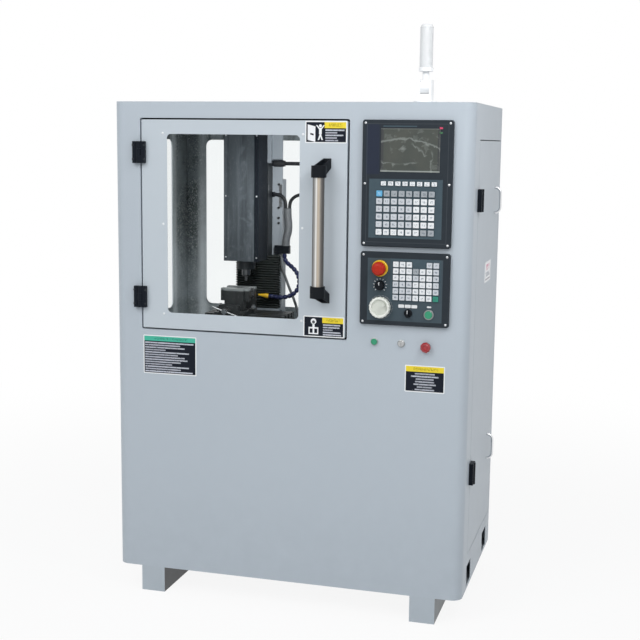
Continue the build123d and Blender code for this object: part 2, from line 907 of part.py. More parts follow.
def bezel(z0, h):
    """Raised control plate with a soft outer edge."""
    plate = front_plate(bezel_u0, bezel_u0 + bezel_w, z0, z0 + h, -bezel_out, 0, bezel_r)
    rim = plate.faces().sort_by(Axis.Y)[0].edges()
    return chamfer(rim, bezel_chamfer)


def display_bezel():
    plate = bezel(disp_z0, disp_h)
    plate -= block(screen_u0, screen_u1, -bezel_out, 0, screen_z0, screen_z1)
    plate -= block(disp_pad_u0, disp_pad_u1, -bezel_out, -bezel_out + pad_recess, disp_pad_z0, disp_pad_z1)
    return plate


def display_screen():
    """Glass-fronted display filling its opening, a little behind the plate."""
    return block(screen_u0, screen_u1, -bezel_out + pad_recess, 0, screen_z0, screen_z1)


def key(u, z, size):
    front = -bezel_out + pad_recess - mat_t
    return block(u - size[0] / 2, u + size[0] / 2, front - key_out, front, z - size[1] / 2, z + size[1] / 2)


def display_keys():
    """One moulded mat with a row of soft keys above a grid of square keys."""
    back = -bezel_out + pad_recess
    keys = [block(disp_pad_u0, disp_pad_u1, back - mat_t, back, disp_pad_z0, disp_pad_z1)]
    keys += [key(soft_u0 + i * soft_pitch, soft_z, soft_key) for i in range(soft_keys)]
    for row in range(grid_rows):
        for col in range(grid_cols):
            keys.append(key(grid_u0 + col * grid_pitch_u, grid_z0 - row * grid_pitch_z, grid_key))
    return keys[0].fuse(*keys[1:])


def control_bezel():
    plate = bezel(ctrl_z0, ctrl_h)
    plate -= block(ctrl_pad_u0, ctrl_pad_u1, -bezel_out, -bezel_out + pad_recess, ctrl_pad_z0, ctrl_pad_z1)
    for u, z, r in ((dial_u, dial_z, shaft_r), (wheel_u, wheel_z, shaft_r), (sel_u, sel_z, shaft_r),
                    (start_u, start_z, shaft_r), (stop_u, stop_z, stop_neck_r)):
        plate -= rod_v(u, z, -bezel_out, 0, r + hole_clear)
    return plate


def control_keys():
    """Moulded mat of the operator's plate: six rows of keys, the first with a gap."""
    back = -bezel_out + pad_recess
    keys = [block(ctrl_pad_u0, ctrl_pad_u1, back - mat_t, back, ctrl_pad_z0, ctrl_pad_z1)]
    for row in range(ctrl_rows):
        for col in range(ctrl_cols):
            if row > 0 or col not in ctrl_missing:
                keys.append(key(ctrl_key_u + col * ctrl_pitch_u, ctrl_key_z - row * ctrl_pitch_z, ctrl_key))
    return keys[0].fuse(*keys[1:])


def stop_collar():
    """Yellow ring round the stop button."""
    inner = stop_neck_r + hole_clear
    points = ((inner, 0), (collar_r, 0), (collar_r, collar_t - 2), (collar_r - 2, collar_t),
              (inner, collar_t))
    return turned_v(points, stop_u, stop_z, -bezel_out)


def stop_button():
    """Red mushroom head on its stem."""
    lift = collar_t + stop_travel + knob_gap
    top = lift + stop_cap_h
    points = ((0, -stem_depth), (stop_neck_r, -stem_depth),
              (stop_neck_r, lift), (stop_cap_r - soft_edge, lift), (stop_cap_r, lift + rim_edge),
              (stop_cap_r, lift + stop_cap_h * stop_wall_share), (stop_cap_r * stop_dome_share, top - rim_edge),
              (stop_cap_r * stop_top_share, top), (0, top))
    return turned_v(points, stop_u, stop_z, -bezel_out)


def knob(u, z, v, r, h, skirt):
    """Turned knob with a skirt, on a shaft that goes through the panel."""
    points = ((0, -stem_depth), (shaft_r, -stem_depth), (shaft_r, knob_gap), (r + skirt, knob_gap),
              (r + skirt, skirt_h), (r, skirt_h + soft_edge), (r - soft_edge, h - soft_edge),
              (r - rim_edge, h), (0, h))
    return turned_v(points, u, z, v)


def override_knob():
    """Fluted grip on a plain skirt and a shaft."""
    front = -bezel_out - dial_base
    base = rod_v(dial_u, dial_z, front, -bezel_out - knob_gap, dial_r + dial_skirt)
    shaft = rod_v(dial_u, dial_z, -bezel_out - knob_gap, -bezel_out + stem_depth, shaft_r)
    outline = Circle(dial_r) - PolarLocations(dial_r + 1, dial_flutes) * Circle(dial_flute_r)
    grip = Pos(0, front, 0) * extrude(Plane.XZ * Pos(dial_u, dial_z) * outline, dial_h - dial_base)
    return base + shaft + grip


def handwheel():
    """Pulse wheel with a raised rim, a dished face and a finger knob."""
    h = wheel_h
    r = wheel_r
    face = h - wheel_dish
    points = ((0, -stem_depth), (shaft_r, -stem_depth), (shaft_r, knob_gap), (r - skirt_h, knob_gap),
              (r, skirt_h), (r, h - skirt_h), (r - rim_edge, h), (r - wheel_rim, h),
              (r - wheel_rim - skirt_h, face), (0, face))
    wheel = turned_v(points, wheel_u, wheel_z, -bezel_out)
    finger_u = wheel_u + (r - finger_in) * math.cos(math.radians(finger_turn))
    finger_z = wheel_z + (r - finger_in) * math.sin(math.radians(finger_turn))
    finger = rod_v(finger_u, finger_z, -bezel_out - h - finger_h, soft_edge - bezel_out - face, finger_r)
    return wheel + finger


def selector_knob():
    body = knob(sel_u, sel_z, -bezel_out, sel_r - sel_skirt, sel_base, sel_skirt)
    half = sel_grip_w / 2
    reach = sel_r - sel_skirt
    grip = front_plate(sel_u - half, sel_u + half, sel_z - reach, sel_z + reach,
                       -bezel_out - sel_h, -bezel_out - sel_base / 2, half * 0.8)
    return body + grip


def button_rings():
    """Metal collars: one round the start button and one at each of the three buttons below."""
    inner = button_r + hole_clear
    points = ((inner, 0), (ring_r, 0), (ring_r, ring_t - soft_edge), (ring_r - soft_edge, ring_t),
              (inner, ring_t))
    rings = [turned_v(points, start_u, start_z, -bezel_out)]
    bore = lock_r + hole_clear
    small = ((bore, 0), (panel_ring_r, 0), (panel_ring_r, panel_ring_t - soft_edge), (bore, panel_ring_t))
    rings += [turned_v(small, u, z, 0) for u, z in ((power_u, power_z), (lock_u, lock_z))]
    base = ((shaft_r + hole_clear, 0), (red_cap_r - rim_edge, 0), (red_cap_r - skirt_h, panel_ring_t),
            (shaft_r + hole_clear, panel_ring_t))
    rings.append(turned_v(base, red_u, red_z, 0))
    return Compound(rings)


def push_button(u, z, v, r, out):
    """Flush button that slides in its ring."""
    lift = button_travel + knob_gap
    points = ((0, -stem_depth), (shaft_r, -stem_depth), (shaft_r, lift), (r, lift),
              (r, lift + out), (r - soft_edge, lift + out + soft_edge), (0, lift + out + soft_edge))
    return turned_v(points, u, z, v)


def start_button():
    return push_button(start_u, start_z, -bezel_out, button_r, button_out)


def power_button():
    return push_button(power_u, power_z, 0, lock_r, button_out)


def key_switch():
    """Lock barrel with its key slot."""
    points = ((0, -stem_depth), (shaft_r, -stem_depth), (shaft_r, knob_gap), (lock_r, knob_gap),
              (lock_r, lock_out - soft_edge), (lock_r - soft_edge, lock_out), (0, lock_out))
    barrel = turned_v(points, lock_u, lock_z, 0)
    return barrel - block(lock_u - key_slot_w / 2, lock_u + key_slot_w / 2, -lock_out, key_slot_d - lock_out,
                          lock_z - key_slot_h / 2, lock_z + key_slot_h / 2)


def red_button():
    lift = panel_ring_t + button_travel + knob_gap
    points = ((0, -stem_depth), (shaft_r, -stem_depth), (shaft_r, lift), (red_cap_r, lift),
              (red_cap_r, lift + red_cap_h * red_wall_share), (red_cap_r * red_top_share, lift + red_cap_h),
              (0, lift + red_cap_h))
    return turned_v(points, red_u, red_z, 0)


def mill_base():
    """Base casting with two ways, a chip channel between them and a pad for the column."""
    body = block(mill_u - base_w / 2, mill_u + base_w / 2, base_v0, base_v1, tray_z + sheet, base_z1)
    channel = block(mill_u - y_rail_off + 2 * rail_w, mill_u + y_rail_off - 2 * rail_w, base_v0, y_rail_v1,
                    base_z1 - channel_d, base_z1)
    body -= channel
    for side in (-1, 1):
        u = mill_u + side * y_rail_off
        body += block(u - rail_w / 2, u + rail_w / 2, y_rail_v0, y_rail_v1, base_z1, y_rail_z1)
    return body


def saddle():
    """Cross slide: grooves that run on the base's ways, and its own pair of ways on top."""
    v0 = tool_v - saddle_d / 2
    v1 = tool_v + saddle_d / 2
    body = block(mill_u - saddle_w / 2, mill_u + saddle_w / 2, v0, v1, saddle_z0, saddle_z1)
    for side in (-1, 1):
        u = mill_u + side * y_rail_off
        body -= block(u - rail_w / 2 - rail_clear, u + rail_w / 2 + rail_clear, v0, v1,
                      saddle_z0, y_rail_z1 + rail_clear)
        v = tool_v + side * x_rail_off
        body += block(mill_u - saddle_w / 2, mill_u + saddle_w / 2, v - rail_w / 2, v + rail_w / 2,
                      saddle_z1, x_rail_z1)
    return body


def table():
    """Work table with three T-slots along its top."""
    u0 = table_u - table_w / 2
    u1 = table_u + table_w / 2
    body = block(u0, u1, tool_v - table_d / 2, tool_v + table_d / 2, table_z0, table_z1)
    for side in (-1, 1):
        v = tool_v + side * x_rail_off
        body -= block(u0, u1, v - rail_w / 2 - rail_clear, v + rail_w / 2 + rail_clear,
                      table_z0, x_rail_z1 + rail_clear)
    for i in (-1, 0, 1):
        v = tool_v + i * slot_pitch
        body -= block(u0, u1, v - slot_w / 2, v + slot_w / 2, table_z1 - slot_d, table_z1)
        body -= block(u0, u1, v - slot_head_w / 2, v + slot_head_w / 2,
                      table_z1 - slot_d - slot_head_h, table_z1 - slot_d)
    return body


def column():
    """Hollow column with two ways on its front, a foot for the bellows and the drive motor on top."""
    u0 = mill_u - column_w / 2
    u1 = mill_u + column_w / 2
    body = block(u0, u1, column_v0, column_v1, base_z1, column_z1)
    body -= block(u0 + column_wall, u1 - column_wall, column_v0 + column_wall, column_v1 - column_wall,
                  base_z1, column_z1 - column_wall)
    for side in (-1, 1):
        u = mill_u + side * z_rail_off
        body += block(u - rail_w / 2, u + rail_w / 2, column_v0 - rail_w, column_v0,
                      z_rail_z0, column_z1)
    body += block(mill_u - bellows_w / 2, mill_u + bellows_w / 2, bellows_v0, column_v0,
                  bellows_z0 - bellows_foot_t, bellows_z0)
    motor_v = (column_v0 + column_v1) / 2
    half = z_motor_w / 2
    body += block(mill_u - half, mill_u + half, motor_v - half, motor_v + half,
                  column_z1, column_z1 + z_motor_h)
    return body


def head_casting():
    """Carriage on the column's ways, a neck, and the spindle housing with its motor on top."""
    body = block(mill_u - carriage_w / 2, mill_u + carriage_w / 2, carriage_v0, carriage_v1,
                 carriage_z0, carriage_z1)
    for side in (-1, 1):
        u = mill_u + side * z_rail_off
        body -= block(u - rail_w / 2 - rail_clear, u + rail_w / 2 + rail_clear,
                      column_v0 - rail_w - rail_clear, column_v0, carriage_z0, carriage_z1)
    body += block(mill_u - neck_w / 2, mill_u + neck_w / 2, head_v1, carriage_v0,
                  head_z0 + neck_in, head_z1 - neck_in)
    body += block(mill_u - head_w / 2, mill_u + head_w / 2, head_v0, head_v1, head_z0, head_z1)
    body += rod_z(mill_u, tool_v, nose_z0, head_z0 + 1, nose_r)
    half = motor_w / 2
    body += block(mill_u - half, mill_u + half, head_v0, head_v1, head_z1, head_z1 + motor_h)
    body -= rod_z(mill_u, tool_v, nose_z0, spindle_top_z, quill_r + quill_clear)
    return body


def head_cover():
    """Folded sheet cover, open at the back and below."""
    half = cover_w / 2
    body = block(mill_u - half, mill_u + half, cover_v0, cover_v1, cover_z0, cover_z1)
    inner = half - cover_t
    body -= block(mill_u - inner, mill_u + inner, cover_v0 + cover_t, cover_v1, cover_z0, cover_z1 - cover_t)
    for side in (-1, 1):
        low = min(side * head_w / 2, side * inner)
        high = max(side * head_w / 2, side * inner)
        body += block(mill_u + low, mill_u + high, cover_v1 - cover_tab, cover_v1,
                      head_z0 + cover_tab, head_z1 - cover_tab)
    return body


def spindle():
    """Quill, collet nut and end mill, turned in one profile."""
    tip = nose_z0 - collet_h - cutter_h
    low = nose_z0 - collet_h
    points = ((0, tip), (cutter_r, tip), (cutter_r, low), (collet_r - collet_edge, low),
              (collet_r, low + collet_cone), (collet_r, nose_z0), (quill_r, nose_z0 + soft_edge),
              (quill_r, spindle_top_z - soft_edge), (0, spindle_top_z - soft_edge))
    profile = make_face(Polyline(*[(r, 0, z) for r, z in points], close=True))
    return Pos(mill_u, tool_v, 0) * revolve(profile, Axis.Z, 360)


def z_bellows():
    """Pleated way cover between the column's foot and the head."""
    u0 = mill_u - bellows_w / 2
    u1 = mill_u + bellows_w / 2
    pitch = (carriage_z0 - bellows_z0) / bellows_folds
    folds = []
    for i in range(bellows_folds):
        low = bellows_z0 + i * pitch
        wide = Plane.XY.offset(low) * Pos(mill_u, (bellows_v0 + bellows_v1) / 2) * Rectangle(
            u1 - u0 - 2 * bellows_fold_d, bellows_v1 - bellows_v0 - bellows_fold_d)
        middle = Plane.XY.offset(low + pitch / 2) * Pos(mill_u, (bellows_v0 + bellows_v1) / 2) * Rectangle(
            u1 - u0, bellows_v1 - bellows_v0)
        upper = Plane.XY.offset(low + pitch) * Pos(mill_u, (bellows_v0 + bellows_v1) / 2) * Rectangle(
            u1 - u0 - 2 * bellows_fold_d, bellows_v1 - bellows_v0 - bellows_fold_d)
        folds.append(loft([wide, middle], ruled=True) + loft([middle, upper], ruled=True))
    return folds[0].fuse(*folds[1:])


def vise_body():
    """Base plate, bed with the fixed jaw behind, and the nose that carries the screw in front."""
    z0 = table_z1
    body = block(vise_u - vise_w / 2, vise_u + vise_w / 2, vise_v0, vise_v1, z0, z0 + vise_base_h)
    body += block(vise_u - vise_w / 2, vise_u + vise_w / 2, vise_v1 - fixed_jaw_d, vise_v1, z0, z0 + jaw_h)
    body += block(vise_u - vise_bed_w / 2, vise_u + vise_bed_w / 2, vise_v0, vise_v0 + nose_d,
                  z0, z0 + vise_base_h + vise_bed_h)
    body -= rod_v(vise_u, z0 + screw_up, vise_v0, vise_v1 - fixed_jaw_d, screw_r + pin_clear)
    return body


def vise_jaw():
    """Sliding jaw with a stepped back, bored for the screw."""
    z0 = table_z1 + vise_base_h
    v1 = vise_v1 - fixed_jaw_d - jaw_gap
    v0 = v1 - moving_jaw_d
    body = block(vise_u - vise_bed_w / 2, vise_u + vise_bed_w / 2, v0, v1, z0, table_z1 + jaw_h)
    body += block(vise_u - vise_w / 2, vise_u + vise_w / 2, v0 + jaw_step_d, v1,
                  z0 + jaw_step_h, table_z1 + jaw_h)
    return body - rod_v(vise_u, table_z1 + screw_up, v0, v1, screw_r + pin_clear)


def vise_screw():
    """Screw with a head and a tilted cross bar."""
    z = table_z1 + screw_up
    front = vise_v0 - screw_out
    screw = rod_v(vise_u, z, front, vise_v1 - fixed_jaw_d - soft_edge, screw_r)
    screw += rod_v(vise_u, z, front, front + screw_head_d, screw_head_r)
    turn = Rot(0, -crank_tilt, 0) * Rot(0, 90, 0)
    bar = Pos(vise_u, front + screw_head_d / 2, z) * turn * Cylinder(crank_r, crank_len)
    return screw + bar


def coolant_nozzle():
    """Tapered end that points from the hose at the tool."""
    start = Vector(*hose_route[-1])
    aim = (start - Vector(*hose_route[-2])).normalized()
    tip = start + aim * nozzle_len
    wide = Plane(origin=start, z_dir=aim)
    collar = nozzle_len * nozzle_collar_share
    middle = Plane(origin=start + aim * collar, z_dir=aim)
    narrow = Plane(origin=tip, z_dir=aim)
    base = extrude(wide * Circle(hose_r + nozzle_collar), collar)
    cone = loft([middle * Circle(hose_r), narrow * Circle(nozzle_tip_r)])
    return base + cone


def cable_glands():
    """Clips and the coolant block on the column's edge, and screwed glands on the partition."""
    left_u = left_route[0][0]
    pieces = [block(block_u0, block_u1, block_v0, column_v0, block_z0, block_z1)]
    pieces.append(block(left_u - clip_w, left_u, cable_v - clip_h / 2, column_v0,
                        lower_cable_z - clip_h / 2, lower_cable_z + clip_h / 2))
    pieces.append(block(sleeve_u0 - clip_w, sleeve_u0, cable_v - clip_h / 2, column_v0,
                        upper_cable_z - clip_h / 2, upper_cable_z + clip_h / 2))
    for z, r in ((upper_cable_z, upper_cable_r), (right_route[0][2], lower_cable_r)):
        nut = rod_u(cable_v, z, chamber_right_u - gland_t, chamber_right_u, gland_r)
        pieces.append(nut - rod_u(cable_v, z, chamber_right_u - gland_t, chamber_right_u, r))
    return Compound(pieces)


def cable_upper():
    """Straight conduit with a thick sleeve at its column end."""
    sleeve = rod_u(cable_v - sleeve_back, upper_cable_z, sleeve_u0, sleeve_u1, sleeve_r)
    return sleeve + rod_u(cable_v, upper_cable_z, sleeve_u1 - 1, chamber_right_u, upper_cable_r)


def mill_stand():
    """Welded stand that carries the mill and the chamber floor."""
    legs = []
    for u in (stand_u0, stand_u1 - leg_w):
        for v in (stand_v0, stand_v1 - leg_w):
            legs.append(block(u, u + leg_w, v, v + leg_w, floor_z, tray_z))
    for v in (stand_v0, stand_v1 - leg_w):
        legs.append(block(stand_u0, stand_u1, v, v + leg_w, tray_z - leg_w, tray_z))
    for u in (stand_u0, stand_u1 - leg_w):
        legs.append(block(u, u + leg_w, stand_v0, stand_v1, tray_z - leg_w, tray_z))
    return legs[0].fuse(*legs[1:])


def coolant_tank():
    """Closed tank with a round pump standing on its lid."""
    lid_z = floor_z + tank_h
    body_z = lid_z + pump_flange_t
    tank = block(tank_u0, tank_u1, tank_v0, tank_v1, floor_z, lid_z)
    u = tank_u0 + pump_edge
    v = tank_v1 - pump_edge
    tank += rod_z(u, v, lid_z, body_z, pump_r + pump_flange)
    tank += rod_z(u, v, body_z, body_z + pump_h, pump_r)
    return tank + rod_z(u, v, body_z + pump_h, body_z + pump_h + pump_cap_t, pump_r - pump_cap_in)


def drive_plate():
    """Mounting plate held off the partition by four posts."""
    u0 = chamber_right_u + sheet
    plate = block(u0 + plate_off, u0 + plate_off + plate_t, plate_v0, plate_v1, plate_z0, plate_z1)
    for v in (plate_v0 + post_in, plate_v1 - post_in):
        for z in (plate_z0 + post_in, plate_z1 - post_in):
            plate += rod_u(v, z, u0, u0 + plate_off, post_r)
    return plate


def drive_units():
    """Servo drives, power supply, relay row, transformer and wiring ducts on the mounting plate."""
    u0 = chamber_right_u + sheet + plate_off + plate_t
    drive_z = plate_z1 - drive_drop
    supply_z = plate_z1 - supply_drop
    relay_z = plate_z1 - relay_drop
    transformer_v = plate_v0 + transformer_in
    transformer_z = plate_z0 + transformer_up
    units = []
    for i in range(drive_count):
        v = plate_v0 + drive_in + i * (drive_w + drive_gap)
        units.append(block(u0, u0 + drive_d, v, v + drive_w, drive_z, drive_z + drive_h))
    units.append(block(u0, u0 + supply_d, plate_v0 + drive_in, plate_v0 + drive_in + supply_w,
                       supply_z, supply_z + supply_h))
    units.append(block(u0, u0 + relay_d, plate_v0 + relay_in, plate_v1 - relay_back,
                       relay_z, relay_z + relay_h))
    for drop in duct_drops:
        z = plate_z1 - drop
        units.append(block(u0, u0 + duct_d, plate_v0 + duct_in, plate_v1 - duct_in, z, z + duct_h))
    units.append(block(u0, u0 + transformer_d, transformer_v, transformer_v + transformer_w,
                       transformer_z, transformer_z + transformer_h))
    return Compound(units)


def tower_base():
    """Flanged foot on the roof: a short neck and two ears for the folding pole."""
    foot = rod_z(tower_u, tower_v, top_z, top_z + tower_flange_t, tower_flange_r)
    inner = knuckle_t / 2 + hinge_gap
    foot += block(tower_u - inner, tower_u + inner, tower_v - ear_w / 2, tower_v + ear_w / 2,
                  top_z, pivot_z - knuckle_r - soft_edge)
    for side in (-1, 1):
        near = side * inner
        far = side * (inner + ear_t)
        foot += block(tower_u + min(near, far), tower_u + max(near, far), tower_v - ear_w / 2,
                      tower_v + ear_w / 2, top_z, top_z + ear_h)
    pin = rod_u(tower_v, pivot_z, tower_u - inner - ear_t, tower_u + inner + ear_t, pivot_r)
    return foot + pin


def tower_lamp():
    """Pole on its knuckle with a round lamp on top."""
    knuckle = rod_u(tower_v, pivot_z, tower_u - knuckle_t / 2, tower_u + knuckle_t / 2, knuckle_r)
    pole = rod_z(tower_u, tower_v, pivot_z, pole_z1, pole_r)
    low = pole_z1 - lamp_foot
    high = pole_z1 + lamp_collar_h
    points = ((0, low), (lamp_r + lamp_rim, low), (lamp_r + lamp_rim, high), (lamp_r, high + lamp_step),
              (lamp_r, lamp_z1 - lamp_cap_h), (lamp_r - lamp_cap_in, lamp_z1), (0, lamp_z1))
    profile = make_face(Polyline(*[(r, 0, z) for r, z in points], close=True))
    lamp = Pos(tower_u, tower_v, 0) * revolve(profile, Axis.Z, 360)
    bore = rod_u(tower_v, pivot_z, tower_u - knuckle_t, tower_u + knuckle_t, pivot_r + pin_clear)
    return knuckle + pole + lamp - bore


save("foot_rails", foot_rails())
save("base_pan", base_pan())
save("front_panel", front_panel())
save("left_panel", left_panel())
save("right_frame", right_frame())
save("rear_panel", rear_panel())
save("top_cover", top_cover())
save("partition", partition())
save("chamber_liner", chamber_liner())
save("window_panes", window_panes())
save("chip_tray", chip_tray())
save("door_seal", door_seal())
save("hinge_plates", hinge_plates())
save("display_bezel", display_bezel())
save("display_screen", display_screen())
save("display_keys", display_keys())
save("control_bezel", control_bezel())
save("control_keys", control_keys())
save("stop_collar", stop_collar())
save("button_rings", button_rings())
save("mill_base", mill_base())
save("column", column())
save("z_bellows", z_bellows())
save("coolant_hose", route_tube(hose_route, hose_r, "coolant hose"))
save("coolant_nozzle", coolant_nozzle())
save("drain_hose", route_tube(drain_route, drain_r, "drain hose"))
save("cable_upper", cable_upper())
save("cables_lower", Compound([route_tube(left_route, lower_cable_r, "left cable"),
                               route_tube(right_route, lower_cable_r, "right cable")]))
save("cable_bundle", route_tube(bundle_route, bundle_r, "cable bundle"))
save("cable_glands", cable_glands())
save("mill_stand", mill_stand())
save("coolant_tank", coolant_tank())
save("drive_plate", drive_plate())
save("drive_units", drive_units())
save("tower_base", tower_base())
save("door_panel", door_panel())
save("door_window", door_window())
save("door_handle", door_handle())
save("door_handle_ends", door_handle_ends())
save("front_hinge_leaves", front_hinge_leaves())
save("side_door", side_door())
save("side_door_pulls", side_door_pulls())
save("side_hinge_leaves", side_hinge_leaves())
save("head_casting", head_casting())
save("head_cover", head_cover())
save("spindle", spindle())
save("saddle", saddle())
save("table", table())
save("vise_body", vise_body())
save("vise_jaw", vise_jaw())
save("vise_screw", vise_screw())
save("stop_button", stop_button())
save("override_knob", override_knob())
save("handwheel", handwheel())
save("selector_knob", selector_knob())
save("start_button", start_button())
save("power_button", power_button())
save("key_switch", key_switch())
save("red_button", red_button())
save("tower_lamp", tower_lamp())
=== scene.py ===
import math

import bmesh
import bpy
from mathutils import Euler, Matrix, Vector


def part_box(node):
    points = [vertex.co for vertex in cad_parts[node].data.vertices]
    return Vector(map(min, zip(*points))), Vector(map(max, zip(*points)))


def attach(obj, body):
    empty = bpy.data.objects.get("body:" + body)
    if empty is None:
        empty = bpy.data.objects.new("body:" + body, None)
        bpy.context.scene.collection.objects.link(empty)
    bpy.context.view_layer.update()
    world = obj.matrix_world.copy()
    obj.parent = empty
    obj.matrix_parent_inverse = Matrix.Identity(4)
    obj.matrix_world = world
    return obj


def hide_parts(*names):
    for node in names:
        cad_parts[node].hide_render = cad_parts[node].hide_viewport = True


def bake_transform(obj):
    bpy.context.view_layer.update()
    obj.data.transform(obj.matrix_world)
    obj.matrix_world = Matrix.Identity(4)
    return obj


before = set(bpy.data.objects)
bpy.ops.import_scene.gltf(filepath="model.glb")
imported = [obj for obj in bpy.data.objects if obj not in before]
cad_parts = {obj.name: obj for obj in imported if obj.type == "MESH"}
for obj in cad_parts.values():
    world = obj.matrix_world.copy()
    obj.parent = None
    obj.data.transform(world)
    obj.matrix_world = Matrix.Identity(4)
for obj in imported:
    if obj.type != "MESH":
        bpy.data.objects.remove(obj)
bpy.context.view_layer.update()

# Cabinet coordinates in millimetres: u to the right, v back from the front face, z up from the floor.
# The right face is at u 1080.
CAB_W = 1080.0
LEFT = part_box("right_frame")[1].x - CAB_W / 1000
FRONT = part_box("front_panel")[0].y

TO_FRONT = Euler((math.radians(90), 0, 0))
TO_RIGHT = Euler((0, math.radians(90), 0))
TO_BACK = Euler((math.radians(-90), 0, 0))
UPRIGHT = Euler((0, 0, 0))


def at(u, v, z):
    """A point of the cabinet, in the frame's metres."""
    return Vector((LEFT + u / 1000, FRONT + v / 1000, z / 1000))


def cabinet_mm(point):
    """A point of the frame, in cabinet millimetres."""
    return Vector(((point.x - LEFT) * 1000, (point.y - FRONT) * 1000, point.z * 1000))


def low(node):
    return cabinet_mm(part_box(node)[0])


def high(node):
    return cabinet_mm(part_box(node)[1])


def middle(node):
    return (low(node) + high(node)) / 2


CAB_D = high("rear_panel").y
TOP = high("top_cover").z

# Camera

CAMERA_PLACE = at(1572.5, -3306.3, 1407.7)
CAMERA_YAW = 0.2746
CAMERA_PITCH = 0.1485
CAMERA_ROLL = 0.0119
CAMERA_LENS = 66.59
CAMERA_SENSOR = 36.0
CAMERA_REACH = 100.0


def make_camera():
    """Stands where the photograph was taken from, with its framing."""
    ahead = Vector((-math.sin(CAMERA_YAW) * math.cos(CAMERA_PITCH),
                    math.cos(CAMERA_YAW) * math.cos(CAMERA_PITCH), -math.sin(CAMERA_PITCH)))
    right = ahead.cross(Vector((0, 0, 1))).normalized()
    up = right.cross(ahead)
    turned_right = right * math.cos(CAMERA_ROLL) + up * math.sin(CAMERA_ROLL)
    turned_up = up * math.cos(CAMERA_ROLL) - right * math.sin(CAMERA_ROLL)
    data = bpy.data.cameras.new("camera")
    data.lens = CAMERA_LENS
    data.sensor_width = CAMERA_SENSOR
    data.clip_end = CAMERA_REACH
    camera = placed("camera", data)
    turn = Matrix((turned_right, turned_up, -ahead)).transposed().to_4x4()
    camera.matrix_world = Matrix.Translation(CAMERA_PLACE) @ turn
    bpy.context.scene.camera = camera


# Shader maths


class Field:
    """A value that varies over a surface. Arithmetic on it adds the nodes."""

    def __init__(self, tree, socket):
        self.tree = tree
        self.socket = socket

    def math(self, operation, other=0.0, swap=False, clamp=False):
        first, second = (other, self) if swap else (self, other)
        return self.tree.node("ShaderNodeMath", {"operation": operation, "use_clamp": clamp},
                              {0: first, 1: second})

    def __add__(self, other):
        return self.math("ADD", other)

    def __radd__(self, other):
        return self.math("ADD", other, swap=True)

    def __sub__(self, other):
        return self.math("SUBTRACT", other)

    def __rsub__(self, other):
        return self.math("SUBTRACT", other, swap=True)

    def __mul__(self, other):
        return self.math("MULTIPLY", other)

    def __rmul__(self, other):
        return self.math("MULTIPLY", other, swap=True)

    def __truediv__(self, other):
        return self.math("DIVIDE", other)

    def __abs__(self):
        return self.math("ABSOLUTE")

    def floor(self):
        return self.math("FLOOR")

    def part(self):
        return self.math("FRACT")

    def sine(self):
        return self.math("SINE")

    def power(self, exponent):
        return self.math("POWER", exponent)

    def largest(self, other):
        return self.math("MAXIMUM", other)

    def clamped(self):
        return self.math("ADD", 0.0, clamp=True)

    def above(self, level, soft):
        """0 below a level and 1 above it, over a soft edge."""
        return self.tree.node("ShaderNodeMapRange", {"interpolation_type": "SMOOTHSTEP"},
                              {"Value": self, "From Min": level - soft / 2, "From Max": level + soft / 2})

    def between(self, start, end, soft):
        return self.above(start, soft) * (1 - self.above(end, soft))


class ShaderTree:
    """Adds nodes to the tree of a material or of the world."""

    def __init__(self, tree):
        self.tree = tree

    def node(self, kind, settings=None, values=None, out=0):
        made = self.tree.nodes.new(kind)
        for name, value in (settings or {}).items():
            setattr(made, name, value)
        for name, value in (values or {}).items():
            self.feed(made.inputs[name], value)
        return Field(self, made.outputs[out])

    def feed(self, socket, value):
        if isinstance(value, Field):
            self.tree.links.new(value.socket, socket)
        elif isinstance(value, (tuple, list)) and len(value) == 3 and socket.type == "RGBA":
            socket.default_value = (*value, 1.0)
        else:
            socket.default_value = value

    def seen_directly(self):
        """1 for what the camera sees, also through glass and in metal, and 0 for light on the object."""
        rays = self.node("ShaderNodeLightPath").socket.node.outputs
        seen = Field(self, rays["Is Camera Ray"]).largest(Field(self, rays["Is Glossy Ray"]))
        return seen.largest(Field(self, rays["Is Transmission Ray"]))


